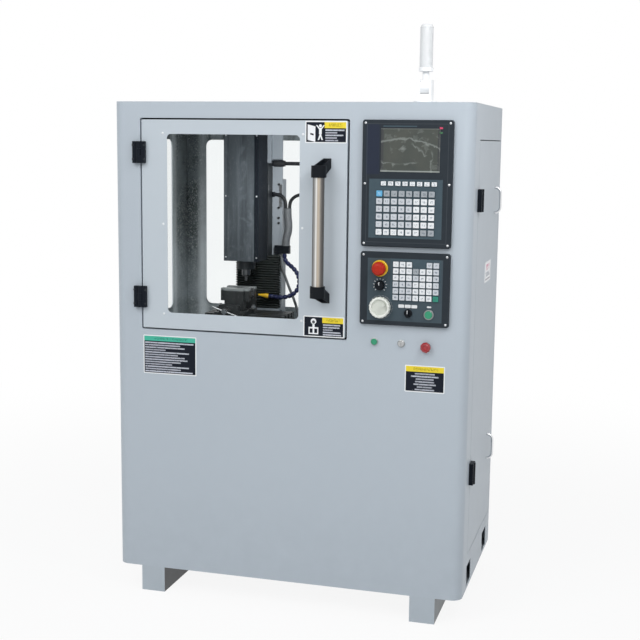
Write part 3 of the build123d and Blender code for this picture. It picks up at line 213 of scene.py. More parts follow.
class Finish(ShaderTree):
    """One procedural material, read on the frame's own coordinates."""

    def __init__(self, name, colour, roughness, metallic=0.0, **constants):
        self.name = name
        self.material = bpy.data.materials.new(name)
        self.material.use_nodes = True
        super().__init__(self.material.node_tree)
        self.shader = self.tree.nodes["Principled BSDF"]
        self.axes = None
        self.set("Base Color", colour)
        self.set("Roughness", roughness)
        self.set("Metallic", metallic)
        for socket, value in constants.items():
            self.set(socket.replace("_", " "), value)

    def set(self, socket, value):
        self.feed(self.shader.inputs[socket], value)

    def coat(self):
        """The colour that the surface has so far."""
        return Field(self, self.shader.inputs["Base Color"].links[0].from_socket)

    def share_with(self, share, first, second):
        """Shows one shader where a share is 0 and another where it is 1."""
        joined = self.node("ShaderNodeMixShader", {}, {0: share, 1: first, 2: second})
        self.feed(self.tree.nodes["Material Output"].inputs["Surface"], joined)

    def whole(self):
        return Field(self, self.shader.outputs[0])

    def spot(self):
        return self.node("ShaderNodeTexCoord", out="Object")

    def xyz(self):
        """Distances in millimetres along u, v and z of the cabinet."""
        if self.axes is None:
            moved = self.node("ShaderNodeVectorMath", {"operation": "SUBTRACT"},
                              {0: self.spot(), 1: (LEFT, FRONT, 0.0)})
            scaled = self.node("ShaderNodeVectorMath", {"operation": "SCALE"}, {0: moved, "Scale": 1000.0})
            split = self.node("ShaderNodeSeparateXYZ", {}, {0: scaled})
            self.axes = [Field(self, output) for output in split.socket.node.outputs]
        return self.axes

    def noise(self, scale, detail=3.0, rough=0.5, stretch=(1, 1, 1), seed=0.0, twist=0.0):
        spot = self.node("ShaderNodeMapping", {}, {"Vector": self.spot(), "Scale": stretch,
                                                  "Location": (seed, seed * 1.7, seed * 0.6)})
        return self.node("ShaderNodeTexNoise", {}, {"Vector": spot, "Scale": scale, "Detail": detail,
                                                    "Roughness": rough, "Distortion": twist})

    def mix(self, share, first, second):
        return self.node("ShaderNodeMix", {"data_type": "RGBA"}, {0: share, 6: first, 7: second}, out=2)

    def bump(self, height, strength, depth):
        """Relief in the surface: depth is in metres."""
        self.set("Normal", self.node("ShaderNodeBump", {}, {"Height": height, "Strength": strength,
                                                            "Distance": depth}))

    def rect(self, area, soft, inset=0.0):
        """1 inside a rectangle on a front face, given as left, right, bottom and top."""
        left, right, bottom, top = area
        u, v, z = self.xyz()
        return u.between(left + inset, right - inset, soft) * z.between(bottom + inset, top - inset, soft)

    def disc(self, u0, z0, r):
        """1 inside a round spot on a front face."""
        u, v, z = self.xyz()
        across = u - u0
        upward = z - z0
        return 1 - (across * across + upward * upward).above(r * r, r)


FINISHES = {}


def keep(finish):
    FINISHES[finish.name] = finish
    return finish


def finish_of(name):
    return FINISHES[name].material


def shaded(colour, share):
    return tuple(c * share for c in colour)


# Finishes

PEEL_DEPTH = 0.00012
# The coat darkens in blotches below this height, fading out above it.
LOW_DARK_HEIGHT = 260.0
LOW_DARK_FADE = 420.0
LOW_DARK_SHARE = 0.3
LOW_DARK_TONE = 0.7


def painted(name, colour, shade, roughness, peel=900.0, **constants):
    """Sprayed coat: soft clouds of tone, a fine orange peel, and blotches that darken it towards the bottom.
    """
    paint = Finish(name, colour, roughness, **constants)
    clouds = paint.noise(2.6, 4.0, 0.6)
    patches = paint.noise(19.0, 3.0, 0.55, seed=3.0)
    grain = paint.noise(peel, 2.0)
    u, v, z = paint.xyz()
    # Darker in blotches towards the bottom.
    low_dark = (1 - z.above(LOW_DARK_HEIGHT, LOW_DARK_FADE)) * patches
    tone = paint.mix((clouds * 0.7 + patches * 0.5 - 0.15).clamped(), colour, shade)
    paint.set("Base Color", paint.mix(low_dark * LOW_DARK_SHARE, tone, shaded(shade, LOW_DARK_TONE)))
    paint.set("Roughness", roughness - 0.06 + clouds * 0.07 + patches * 0.06)
    paint.bump(grain, 0.25, PEEL_DEPTH)
    return keep(paint)


FOOT_W = 76.0
# Painted shade for the rails' faces behind their front, and a painted shadow for the faces between the rails.
FOOT_SIDE_SHADE = (0.115, 0.128, 0.137)
FOOT_INSIDE_SHADOW = (0.012, 0.014, 0.014)


def foot_paint_and_shade():
    """The cabinet's coat on the rails' front faces, with mottled dark grey painted shade on their other faces
    and a near-black painted shadow on the faces between the rails.
    """
    paint = painted("foot_paint_and_shade", (0.46, 0.512, 0.562), (0.43, 0.482, 0.53), 0.42)
    u, v, z = paint.xyz()
    shade_mottle = paint.noise(12.0, 4.0, 0.6, seed=11.0)
    # Painted shade on every face behind the front plane, lightly mottled.
    shaded_faces = v.above(1.2, 0.8) * (shade_mottle * 0.14 + 0.86)
    left_rail = low("foot_rails").x + FOOT_W
    right_rail = high("foot_rails").x - FOOT_W
    # Painted shadow, nearly black, on the faces between the two rails.
    inside = v.above(1.5, 1.0) * u.between(left_rail - 1, right_rail + 1, 1.0)
    side = paint.mix(inside, FOOT_SIDE_SHADE, FOOT_INSIDE_SHADOW)
    paint.set("Base Color", paint.mix(shaded_faces, paint.coat(), side))
    return paint


def moulded(name, colour, shade, roughness, grain=1400.0, strength=0.25, **constants):
    """Injection-moulded plastic with a fine spark-eroded grain and handling marks."""
    plastic = Finish(name, colour, roughness, **constants)
    texture = plastic.noise(grain, 2.0)
    marks = plastic.noise(46.0, 4.0, 0.65)
    plastic.set("Base Color", plastic.mix((marks * 1.1 - 0.2).clamped(), colour, shade))
    plastic.set("Roughness", roughness - 0.08 + marks * 0.16)
    plastic.bump(texture, strength, 0.0001)
    return keep(plastic)


def machined(name, colour, shade, roughness, stretch=(1, 1, 1), strength=0.2, stains=30.0):
    """Bare metal with tool lines along one direction and faint stains."""
    metal = Finish(name, colour, roughness, 1.0)
    grain = metal.noise(600.0, 2.0, stretch=stretch)
    stain = metal.noise(stains, 4.0, 0.6, seed=5.0)
    metal.set("Base Color", metal.mix((stain * 1.4 - 0.3).clamped(), colour, shade))
    metal.set("Roughness", roughness - 0.1 + grain * 0.1 + stain * 0.12)
    metal.bump(grain, strength, 0.00006)
    return keep(metal)


def cast(name, colour, shade, roughness, chips=0.25, **constants):
    """Painted casting: a coarse sand skin under the coat."""
    iron = Finish(name, colour, roughness, **constants)
    skin = iron.noise(240.0, 4.0, 0.6)
    stain = iron.noise(14.0, 4.0, 0.6, seed=2.0)
    runs = iron.noise(70.0, 3.0, stretch=(1, 1, 0.06), seed=6.0)
    tone = iron.mix((stain * 1.2 - 0.2).clamped(), colour, shade)
    iron.set("Base Color", iron.mix(runs.above(0.62, 0.1) * chips, tone, shaded(shade, 0.5)))
    iron.set("Roughness", roughness - 0.05 + stain * 0.14)
    iron.bump(skin, 0.35, 0.0005)
    return keep(iron)


def flexible(name, colour, shade, roughness, rings=0.0, **constants):
    """Rubber or soft plastic with a dry bloom, and fine rings along Z where it is ribbed."""
    rubber = Finish(name, colour, roughness, **constants)
    bloom = rubber.noise(55.0, 4.0, 0.65)
    height = rubber.noise(1100.0, 2.0)
    if rings:
        u, v, z = rubber.xyz()
        height = height * 0.3 + abs((z / rings).part() - 0.5)
    rubber.set("Base Color", rubber.mix((bloom * 1.2 - 0.25).clamped(), colour, shade))
    rubber.set("Roughness", roughness - 0.06 + bloom * 0.14)
    rubber.bump(height, 0.3, 0.0002)
    return keep(rubber)


# Below this height the sheet is paler, with a wavy edge.
PALE_TOP = 1190.0
PALE_FADE = 330.0
DECK_TOP = 860.0
# Where the painted fold highlights lie.
BACK_FOLD_V = 532.0
BACK_FOLD_U = (34.0, 66.0)
SIDE_FOLD_V = (440.0, 476.0)
STEEL_BLACK = (0.1, 0.115, 0.115)


def stainless_sheet():
    """Sheet steel that has been sprayed with coolant: dark clouds, pale runs and dried specks; paler towards
    the bottom, darker below the deck, and painted highlights along its folds.
    """
    metal = Finish("stainless", (0.2, 0.21, 0.22), 0.34, 0.3, Specular_IOR_Level=0.3)
    u, v, z = metal.xyz()
    waves = metal.noise(5.5, 5.0, 0.62, stretch=(1, 1, 0.55), twist=1.4)
    blots = metal.noise(30.0, 5.0, 0.68, seed=4.0, twist=0.8)
    runs = metal.noise(34.0, 3.0, stretch=(1, 1, 0.06), seed=8.0)
    specks = metal.noise(210.0, 4.0, 0.7, seed=2.0)
    # Paler towards the bottom, where the dark clouds are also weaker.
    lower_pale = 1 - (z + waves * 260.0).above(PALE_TOP, PALE_FADE)
    dark = (waves.above(0.44, 0.2) * 0.7 + blots.above(0.56, 0.14) * 0.4).clamped() * (1 - lower_pale * 0.55)
    tone = metal.mix(dark, metal.mix(lower_pale, (0.27, 0.3, 0.31), (0.62, 0.67, 0.7)), STEEL_BLACK)
    tone = metal.mix(runs.above(0.58, 0.12) * 0.5, tone, (0.66, 0.7, 0.73))
    tone = metal.mix((1 - z.above(DECK_TOP, 40)) * 0.3, tone, STEEL_BLACK)
    # Painted highlights: pale bands along the back fold and the side fold, stronger lower down.
    back_fold_highlight = v.above(BACK_FOLD_V, 1.0) * u.between(*BACK_FOLD_U, 22)
    side_fold_highlight = (1 - v.above(SIDE_FOLD_V[1], 34)) * v.above(SIDE_FOLD_V[0], 4)
    fold_highlight = ((back_fold_highlight + side_fold_highlight) * (waves * 1.3 + lower_pale * 0.4 - 0.2)).clamped()
    tone = metal.mix(fold_highlight, tone, (0.86, 0.9, 0.92))
    spray = specks.above(0.57, 0.06) * waves.above(0.42, 0.1)
    metal.set("Base Color", metal.mix(spray * 0.85, tone, (0.68, 0.71, 0.7)))
    metal.set("Roughness", 0.28 + waves * 0.2 + runs * 0.1 + spray * 0.2)
    metal.bump(waves + blots * 0.4, 0.4, 0.003)
    return keep(metal)


PANE_BODY = (0.05, 0.055, 0.055)


def clear_pane():
    """Clear sheet: see-through, with a few fine specks and a sharp reflection that grows at a slant."""
    pane = Finish("clear_pane", PANE_BODY, 0.05, IOR=1.5, Specular_IOR_Level=0.3)
    specks = pane.noise(340.0, 3.0).above(0.74, 0.04)
    pane.set("Base Color", pane.mix(specks, PANE_BODY, (0.75, 0.8, 0.82)))
    haze = pane.noise(9.0, 4.0, 0.6)
    slant = pane.node("ShaderNodeLayerWeight", {}, {"Blend": 0.12}, out="Facing")
    clear = pane.node("ShaderNodeBsdfTransparent", {}, {"Color": (0.985, 0.992, 0.992)})
    pane.share_with((slant * 0.16 + haze * 0.02 + specks * 0.06).clamped(), clear, pane.whole())
    return keep(pane)


CREASE_U = middle("display_screen").x - 21.0
CREASE_Z = middle("display_screen").z + 4.0
FILM_EDGE = 2.5


def screen_glass():
    """Unlit display behind a crinkled protective film, with broad soft folds and a bright lower edge."""
    glass = Finish("screen_glass", (0.08, 0.09, 0.085), 0.2, Coat_Weight=0.15, Coat_Roughness=0.1,
                   Specular_IOR_Level=0.2)
    u, v, z = glass.xyz()
    left, bottom = low("display_screen").x, low("display_screen").z
    right, top = high("display_screen").x, high("display_screen").z
    folds = glass.noise(13.0, 3.0, 0.55, twist=1.2)
    small = glass.noise(48.0, 3.0, 0.5, seed=2.0, twist=0.7)
    warp = (small - 0.5) * 26.0
    across = u - CREASE_U + warp
    upward = z - CREASE_Z + warp * 0.7
    arc = upward - 29.0 + across * across * 0.0026
    wave = upward + 46.0 - abs(across + 12.0) * 0.16
    slope = upward + across * 0.72 - 30.0
    post = u - CREASE_U - 82.0 + warp
    left_part = 1 - u.above(CREASE_U + 38.0, 20)
    right_part = u.between(CREASE_U + 26.0, CREASE_U + 68.0, 10)
    low_part = 1 - z.above(CREASE_Z - 8.0, 16)
    crease = (1 - abs(arc) * 0.24).clamped()
    crease = crease.largest((1 - abs(wave) * 0.3).clamped() * left_part * 0.8)
    crease = crease.largest((1 - abs(slope) * 0.2).clamped() * right_part * 0.8)
    crease = crease.largest((1 - abs(post) * 0.25).clamped() * low_part * 0.7)
    crease = crease.largest((1 - (abs(across) + abs(upward)) * 0.09).clamped().power(0.6))
    crease = (crease * small.above(0.38, 0.3)).largest(small.above(0.62, 0.08) * 0.3)
    body = glass.mix((folds * 1.4 - 0.3).clamped(), (0.056, 0.066, 0.06), (0.084, 0.088, 0.076))
    body = glass.mix(u.between(left + 8.0, right - 7.0, 3.0), (0.05, 0.054, 0.056), body)
    streak = z.between(bottom + 0.5, bottom + 4.0, 1.6) * 0.9
    streak = streak + z.above(top - FILM_EDGE, 1.0) * 0.35 + u.above(right - FILM_EDGE, 1.0) * 0.2
    body = glass.mix((crease * 0.5 + streak).clamped(), body, (0.33, 0.36, 0.34))
    glass.set("Base Color", body)
    glass.set("Roughness", 0.18 + crease * 0.3)
    glass.bump(folds + small * 0.4, 0.3, 0.001)
    return keep(glass)


# Areas on the control plates: left, right, bottom and top.
CONTROL_PAD = (785.0, 1003.0, 904.0, 1084.0)
DISPLAY_PAD = (785.0, 996.0, 1142.0, 1309.0)
SCREEN_SHADE = (775.0, 813.0, 1322.0, 1462.0)
DISPLAY_GROOVE = (776.0, 1010.0, 1129.0, 1464.0)
GROOVE_W = 1.4
PLATE_V = low("control_bezel").y
KEY_V = low("control_keys").y


def bezel_plastic():
    """Blue-black moulded control plate, with the grey touch pads printed in it."""
    plate = Finish("bezel_plastic", (0.02, 0.026, 0.034), 0.42, Specular_IOR_Level=0.2)
    u, v, z = plate.xyz()
    texture = plate.noise(1500.0, 2.0)
    marks = plate.noise(30.0, 4.0, 0.6)
    pads = plate.rect(CONTROL_PAD, 1.0).largest(plate.rect(DISPLAY_PAD, 1.0))
    tone = plate.mix(marks, (0.015, 0.021, 0.028), (0.023, 0.03, 0.038))
    tone = plate.mix(plate.rect(SCREEN_SHADE, 8.0) * 0.7, tone, (0.016, 0.022, 0.045))
    groove = plate.rect(DISPLAY_GROOVE, 0.8) * (1 - plate.rect(DISPLAY_GROOVE, 0.8, GROOVE_W))
    tone = plate.mix(groove * 0.35, tone, (0.1, 0.115, 0.13))
    front = (1 - v.above(PLATE_V + 0.4, 0.3)) * pads
    plate.set("Base Color", plate.mix(front, tone, (0.052, 0.074, 0.09)))
    plate.set("Roughness", 0.36 + marks * 0.14 + front * 0.1)
    plate.bump(texture, 0.25, 0.0001)
    return keep(plate)


def key_mat():
    """Grey membrane of the key pads."""
    mat = Finish("key_mat", (0.085, 0.1, 0.115), 0.5, Specular_IOR_Level=0.25)
    grain = mat.noise(1300.0, 2.0)
    wear = mat.noise(60.0, 4.0, 0.6)
    mat.set("Base Color", mat.mix(wear, (0.04, 0.067, 0.085), (0.062, 0.092, 0.112)))
    mat.set("Roughness", 0.42 + wear * 0.2)
    mat.bump(grain, 0.2, 0.0001)
    return keep(mat)


def key_cap(name, colour, shade, grid):
    """Light key with a small plain mark in its middle."""
    cap = Finish(name, colour, 0.38)
    u, v, z = cap.xyz()
    u0, z0, pitch_u, pitch_z = grid
    across = ((u - u0) / pitch_u + 0.5).part() - 0.5
    upward = ((z - z0) / pitch_z + 0.5).part() - 0.5
    fine = cap.noise(420.0, 1.0, seed=1.0)
    inside = (1 - abs(across).above(0.19, 0.06)) * (1 - abs(upward).above(0.15, 0.06))
    wear = cap.noise(90.0, 3.0)
    tone = cap.mix(wear, colour, shaded(colour, 0.88))
    cap.set("Base Color", cap.mix(inside * fine.above(0.5, 0.08) * 0.85, tone, shade))
    cap.set("Roughness", 0.34 + wear * 0.16)
    return keep(cap)


JAW_EDGE = high("vise_jaw").z - 7.0


def vise_steel():
    """Dark vise, ground bright on its top and on the jaws' upper edges."""
    steel = cast("vise_steel", (0.034, 0.037, 0.038), (0.014, 0.015, 0.016), 0.4, Specular_IOR_Level=0.3)
    u, v, z = steel.xyz()
    scuffs = steel.noise(60.0, 4.0, 0.6, seed=12.0)
    worn = z.above(JAW_EDGE, 5.0) * scuffs.above(0.36, 0.2)
    steel.set("Base Color", steel.mix(worn, steel.coat(), (0.27, 0.29, 0.29)))
    return steel


# To the right of this the cover is painted near black, as shade.
COVER_SHADE_U = 367.0


def head_sheet():
    """Dark folded cover with pale coolant streaks and blotches running down it, and near-black painted shade
    on the right strip of its front and on its side.
    """
    sheet = Finish("dark_sheet", (0.06, 0.07, 0.08), 0.4, 0.0, Specular_IOR_Level=0.12)
    u, v, z = sheet.xyz()
    runs = sheet.noise(95.0, 4.0, 0.6, stretch=(1, 1, 0.045))
    broad = sheet.noise(24.0, 2.0, 0.5, stretch=(1, 1, 0.03), seed=3.0)
    blots = sheet.noise(22.0, 5.0, 0.7, seed=5.0, twist=1.0)
    fine = sheet.noise(150.0, 4.0, 0.6, seed=9.0)
    light = runs.above(0.56, 0.24) * 0.3 + broad.above(0.5, 0.3) * 0.4 + blots.above(0.58, 0.1) * fine * 0.5
    # Painted shade: the front's right strip and the side are painted near black, as if in shadow.
    side = u.above(COVER_SHADE_U, 1.0)
    front_tone = sheet.mix(light.clamped(), (0.035, 0.042, 0.048), (0.12, 0.136, 0.15))
    side_shade_tone = sheet.mix(light, (0.003, 0.005, 0.008), (0.012, 0.015, 0.02))
    sheet.set("Base Color", sheet.mix(side, front_tone, side_shade_tone))
    sheet.set("Roughness", 0.34 + blots * 0.25 + side * 0.3)
    sheet.bump(blots + runs * 0.3, 0.2, 0.001)
    return keep(sheet)


HANDLE_U = middle("door_handle").x
HANDLE_R = (high("door_handle").x - low("door_handle").x) / 2


def tube_metal():
    """Drawn tube with fine drawing lines, a warm and pale painted highlight down its front, and painted shade
    on its flanks.
    """
    tube = Finish("satin_tube", (0.5, 0.47, 0.43), 0.3, 0.7)
    u, v, z = tube.xyz()
    lines = tube.noise(900.0, 2.0, stretch=(1, 1, 0.03))
    across = (u - HANDLE_U) * (1 / HANDLE_R)
    # Painted highlight: a warm band and a pale line down the front; painted shade on the flanks.
    warm_highlight = (1 - abs(across - 0.25) * 1.7).clamped()
    pale = (1 - abs(across + 0.12) * 4.0).clamped()
    flank_shade = abs(across + 0.05).above(0.62, 0.34)
    tone = tube.mix(warm_highlight, (0.3, 0.3, 0.3), (0.5, 0.42, 0.33))
    tone = tube.mix(pale, tone, (0.86, 0.86, 0.84))
    tone = tube.mix(flank_shade, tone, (0.12, 0.115, 0.11))
    tube.set("Base Color", tube.mix(lines * 0.3, tone, (0.3, 0.29, 0.27)))
    tube.set("Roughness", 0.34 + lines * 0.12)
    tube.bump(lines, 0.12, 0.00005)
    return keep(tube)


LENS_LOW = high("tower_lamp").z - 118.0
LENS_HIGH = high("tower_lamp").z - 8.0


def lamp_plastic():
    """White lamp: a frosted lens between two smooth rings."""
    lamp = Finish("white_plastic", (0.9, 0.91, 0.92), 0.3, Coat_Weight=0.25)
    u, v, z = lamp.xyz()
    soft = lamp.noise(40.0, 3.0)
    ribs = (u * 0.55).sine() * z.between(LENS_LOW + 4, LENS_HIGH, 2.0)
    rings = z.between(LENS_LOW - 3, LENS_LOW, 0.6) + z.between(LENS_HIGH - 2, LENS_HIGH, 0.6)
    body = lamp.mix(soft, (0.9, 0.91, 0.92), (0.96, 0.965, 0.97))
    lens = lamp.mix(soft, (0.7, 0.715, 0.725), (0.77, 0.78, 0.79))
    body = lamp.mix(z.above(LENS_LOW, 1.0), body, lens)
    lamp.set("Base Color", lamp.mix(rings.clamped() * 0.5, body, (0.5, 0.52, 0.54)))
    lamp.set("Roughness", 0.26 + soft * 0.12)
    lamp.bump(ribs, 0.15, 0.0004)
    return keep(lamp)


NAVY = (0.006, 0.009, 0.017)
LABEL_BORDER = 3.0
PICTURE_SHARE = 0.44


def label(name, place, header, head_share, lines, centred=False, picture=None):
    """Sticker: white border, coloured header, rows of plain bars of uneven length, and a plain shape."""
    u0, u1, z0, z1 = place
    film = Finish(name, (0.8, 0.81, 0.83), 0.4, Specular_IOR_Level=0.15)
    across, v, z = film.xyz()
    head_z = z1 - LABEL_BORDER - (z1 - z0) * head_share
    left = u0 + LABEL_BORDER + (u1 - u0) * (PICTURE_SHARE if picture else 0.0)
    right = u1 - LABEL_BORDER
    bottom = z0 + LABEL_BORDER
    top = z1 - LABEL_BORDER
    fine = film.noise(430.0, 2.0, seed=3.0)
    wear = film.noise(50.0, 3.0)
    tone = film.mix(wear, (0.8, 0.82, 0.83), (0.9, 0.91, 0.92))
    tone = film.mix(film.rect(place, 0.5, LABEL_BORDER), tone, NAVY)
    row = (head_z - 2.0 - z) * (lines / (head_z - bottom - 3.0))
    chance = film.node("ShaderNodeTexWhiteNoise", {"noise_dimensions": "1D"}, {"W": row.floor() + u0})
    width = right - left - 6.0
    if centred:
        reach = (chance * 0.45 + 0.4) * (width / 2) - abs(across - (left + right) / 2)
    else:
        reach = (chance.power(0.7) * 0.6 + 0.38) * width + left + 3.0 - across
    body = across.between(left + 2.5, right - 2.5, 0.8) * z.between(bottom + 2.0, head_z - 1.5, 0.5)
    bars = (1 - abs(row.part() - 0.5).above(0.27, 0.14)) * reach.above(0.0, 1.5) * body
    bars = bars * fine.above(0.36, 0.12)
    tone = film.mix(bars * (chance * 0.35 + 0.6), tone, (0.6, 0.63, 0.7))
    tone = film.mix(film.rect((left, right, head_z, top), 0.5), tone, header)
    span = right - left
    mark = across.between(left + span * 0.2, left + span * 0.85, 1.0) * z.between(head_z + 4, top - 3.5, 0.8)
    mark = mark * fine.above(0.5, 0.05)
    tone = film.mix(mark * 0.55, tone, shaded(header, 0.25))
    if picture:
        tone = film.mix(picture(film, u0 + LABEL_BORDER, bottom), tone, (0.84, 0.85, 0.87))
    film.set("Base Color", tone)
    film.set("Roughness", 0.34 + wear * 0.14)
    return keep(film)


def slanted_leaf(film, u0, z0):
    """A leaning white leaf with a slot, and a round spot over a slim bar."""
    u, v, z = film.xyz()
    leaning = z + (u - u0) * 0.25
    leaf = u.between(u0 + 4, u0 + 27, 0.6) * leaning.between(z0 + 7, z0 + 51, 0.6)
    slot = u.between(u0 + 12, u0 + 22, 0.6) * leaning.between(z0 + 24, z0 + 29, 0.6)
    spread = abs(u - u0 - 42.0)
    trunk = (1 - spread.above(4.0, 0.8)) * z.between(z0 + 22, z0 + 40, 0.8)
    legs = (1 - abs(spread - (z0 + 22.0 - z) * 0.35).above(2.2, 0.8)) * z.between(z0 + 6, z0 + 24, 0.8)
    arms = (1 - abs(spread - (z - z0 - 34.0) * 0.8).above(2.2, 0.8)) * z.between(z0 + 34, z0 + 48, 0.8)
    return (leaf * (1 - slot) + trunk + legs + arms + film.disc(u0 + 42, z0 + 46, 4.4)).clamped()


def shield(film, u0, z0):
    """A round spot over a frame with a bar down its middle."""
    u, v, z = film.xyz()
    spread = abs(u - u0 - 28.0)
    border = (1 - spread.above(15.0, 0.8)) * z.between(z0 + 5, z0 + 26, 0.8)
    inside = spread.between(2.6, 11.5, 0.8) * z.between(z0 + 8.5, z0 + 21.5, 0.8)
    neck = (1 - spread.above(3.4, 0.8)) * z.between(z0 + 26, z0 + 34, 0.8)
    ring = film.disc(u0 + 28, z0 + 43, 8.6) * (1 - film.disc(u0 + 28, z0 + 41, 4.6) * 0.9)
    return (border * (1 - inside) + neck + ring).clamped()


SIDE_PLATE_V = 350.5
SIDE_PLATE_Z = 1020.5
SIDE_PLATE_D = 127.0
SIDE_PLATE_H = 63.0


def side_label():
    """White plate on the side door with plain red and grey shapes."""
    film = Finish("side_label", (0.78, 0.79, 0.82), 0.35, Coat_Weight=0.3)
    u, v, z = film.xyz()
    wear = film.noise(50.0, 3.0)
    cut = film.noise(70.0, 2.0, seed=4.0)
    across = abs(v - SIDE_PLATE_V + 0.5)
    upward = z - SIDE_PLATE_Z
    red = (1 - across.above(38.0, 1.0)) * upward.between(5.5, 23.5, 1.0) * cut.above(0.46, 0.03)
    grey = (1 - across.above(44.0, 1.0)) * upward.between(-14.5, -0.5, 1.0) * cut.above(0.42, 0.03)
    dark = (1 - across.above(50.0, 1.0)) * upward.between(-25.5, -20.5, 0.6)
    tone = film.mix(wear, (0.74, 0.75, 0.79), (0.84, 0.85, 0.87))
    tone = film.mix(red, tone, (0.55, 0.1, 0.22))
    tone = film.mix(grey, tone, (0.2, 0.24, 0.3))
    film.set("Base Color", film.mix(dark, tone, (0.06, 0.07, 0.1)))
    film.set("Roughness", 0.3 + wear * 0.12)
    return keep(film)


def glowing(name, colour, level):
    """Small lit lens."""
    lens = Finish(name, colour, 0.25, Coat_Weight=0.5, Emission_Strength=level)
    cloud = lens.noise(300.0, 2.0)
    tone = lens.mix(cloud, colour, tuple(c * 1.2 + 0.02 for c in colour))
    lens.set("Base Color", tone)
    lens.set("Emission Color", tone)
    lens.set("Roughness", 0.2 + cloud * 0.1)
    return keep(lens)


def make_finishes():
    painted("cabinet_paint", (0.472, 0.525, 0.578), (0.445, 0.498, 0.552), 0.42)
    machined("screw_black", (0.05, 0.055, 0.06), (0.03, 0.033, 0.036), 0.3)
    painted("black_hinge", (0.005, 0.008, 0.013), (0.009, 0.012, 0.018), 0.4, peel=700.0,
            Specular_IOR_Level=0.1)
    foot_paint_and_shade()
    painted("door_paint", (0.535, 0.588, 0.635), (0.5, 0.553, 0.602), 0.4)
    painted("dark_frame", (0.19, 0.21, 0.23), (0.15, 0.17, 0.19), 0.45)
    painted("drive_case", (0.3, 0.32, 0.34), (0.24, 0.26, 0.28), 0.42)
    stainless_sheet()
    clear_pane()
    flexible("black_rubber", (0.012, 0.013, 0.014), (0.022, 0.023, 0.025), 0.6, Specular_IOR_Level=0.2)
    tube_metal()
    moulded("black_plastic", (0.005, 0.007, 0.01), (0.011, 0.013, 0.016), 0.42, Specular_IOR_Level=0.1)
    machined("chrome", (0.78, 0.79, 0.8), (0.66, 0.67, 0.69), 0.16, strength=0.05)
    screen_glass()
    bezel_plastic()
    key_mat()
    moulded("yellow_plastic", (0.82, 0.5, 0.015), (0.7, 0.4, 0.01), 0.34, strength=0.1)
    moulded("red_plastic", (0.46, 0.024, 0.007), (0.36, 0.013, 0.006), 0.34, strength=0.08,
            Specular_IOR_Level=0.25)
    moulded("clear_red", (0.42, 0.019, 0.028), (0.18, 0.004, 0.01), 0.16, grain=300.0, strength=0.1,
            Coat_Weight=0.4)
    moulded("green_plastic", (0.03, 0.3, 0.16), (0.02, 0.23, 0.12), 0.32, strength=0.08)
    moulded("cream_plastic", (0.66, 0.68, 0.62), (0.56, 0.59, 0.53), 0.36, strength=0.1)
    moulded("cream_rim", (0.84, 0.85, 0.8), (0.74, 0.76, 0.7), 0.34, strength=0.1)
    machined("ring_metal", (0.36, 0.38, 0.38), (0.24, 0.25, 0.26), 0.34)
    machined("lock_metal", (0.56, 0.57, 0.57), (0.3, 0.31, 0.32), 0.3)
    machined("dark_tool", (0.12, 0.125, 0.13), (0.06, 0.063, 0.066), 0.34)
    cast("grey_casting", (0.3, 0.33, 0.36), (0.24, 0.27, 0.3), 0.45, chips=0.3)
    cast("dark_casting", (0.03, 0.034, 0.038), (0.018, 0.021, 0.024), 0.42, Specular_IOR_Level=0.2)
    head_sheet()
    cast("dark_steel", (0.034, 0.037, 0.038), (0.014, 0.015, 0.016), 0.4, Specular_IOR_Level=0.3)
    vise_steel()
    machined("bright_steel", (0.6, 0.61, 0.62), (0.42, 0.43, 0.44), 0.26, stretch=(0.1, 0.1, 1))
    flexible("bellows_rubber", (0.021, 0.025, 0.024), (0.03, 0.034, 0.033), 0.7, Specular_IOR_Level=0.05)
    flexible("blue_hose", (0.012, 0.018, 0.075), (0.008, 0.011, 0.04), 0.34, Specular_IOR_Level=0.3)
    flexible("grey_hose", (0.13, 0.138, 0.146), (0.08, 0.086, 0.092), 0.5, rings=3.0)
    flexible("black_cable", (0.012, 0.013, 0.015), (0.024, 0.026, 0.029), 0.44, Specular_IOR_Level=0.2)
    machined("zinc_plate", (0.56, 0.57, 0.56), (0.44, 0.45, 0.45), 0.36, stains=60.0)
    lamp_plastic()
    moulded("white_mark", (0.78, 0.79, 0.8), (0.7, 0.71, 0.72), 0.4)
    painted("screw_white", (0.9, 0.92, 0.94), (0.8, 0.82, 0.85), 0.36)
    machined("screw_steel", (0.6, 0.62, 0.64), (0.45, 0.46, 0.48), 0.28)
    glowing("red_lamp", (0.42, 0.015, 0.07), 0.25)
    glowing("green_lamp", (0.012, 0.09, 0.03), 0.06)
    side_label()


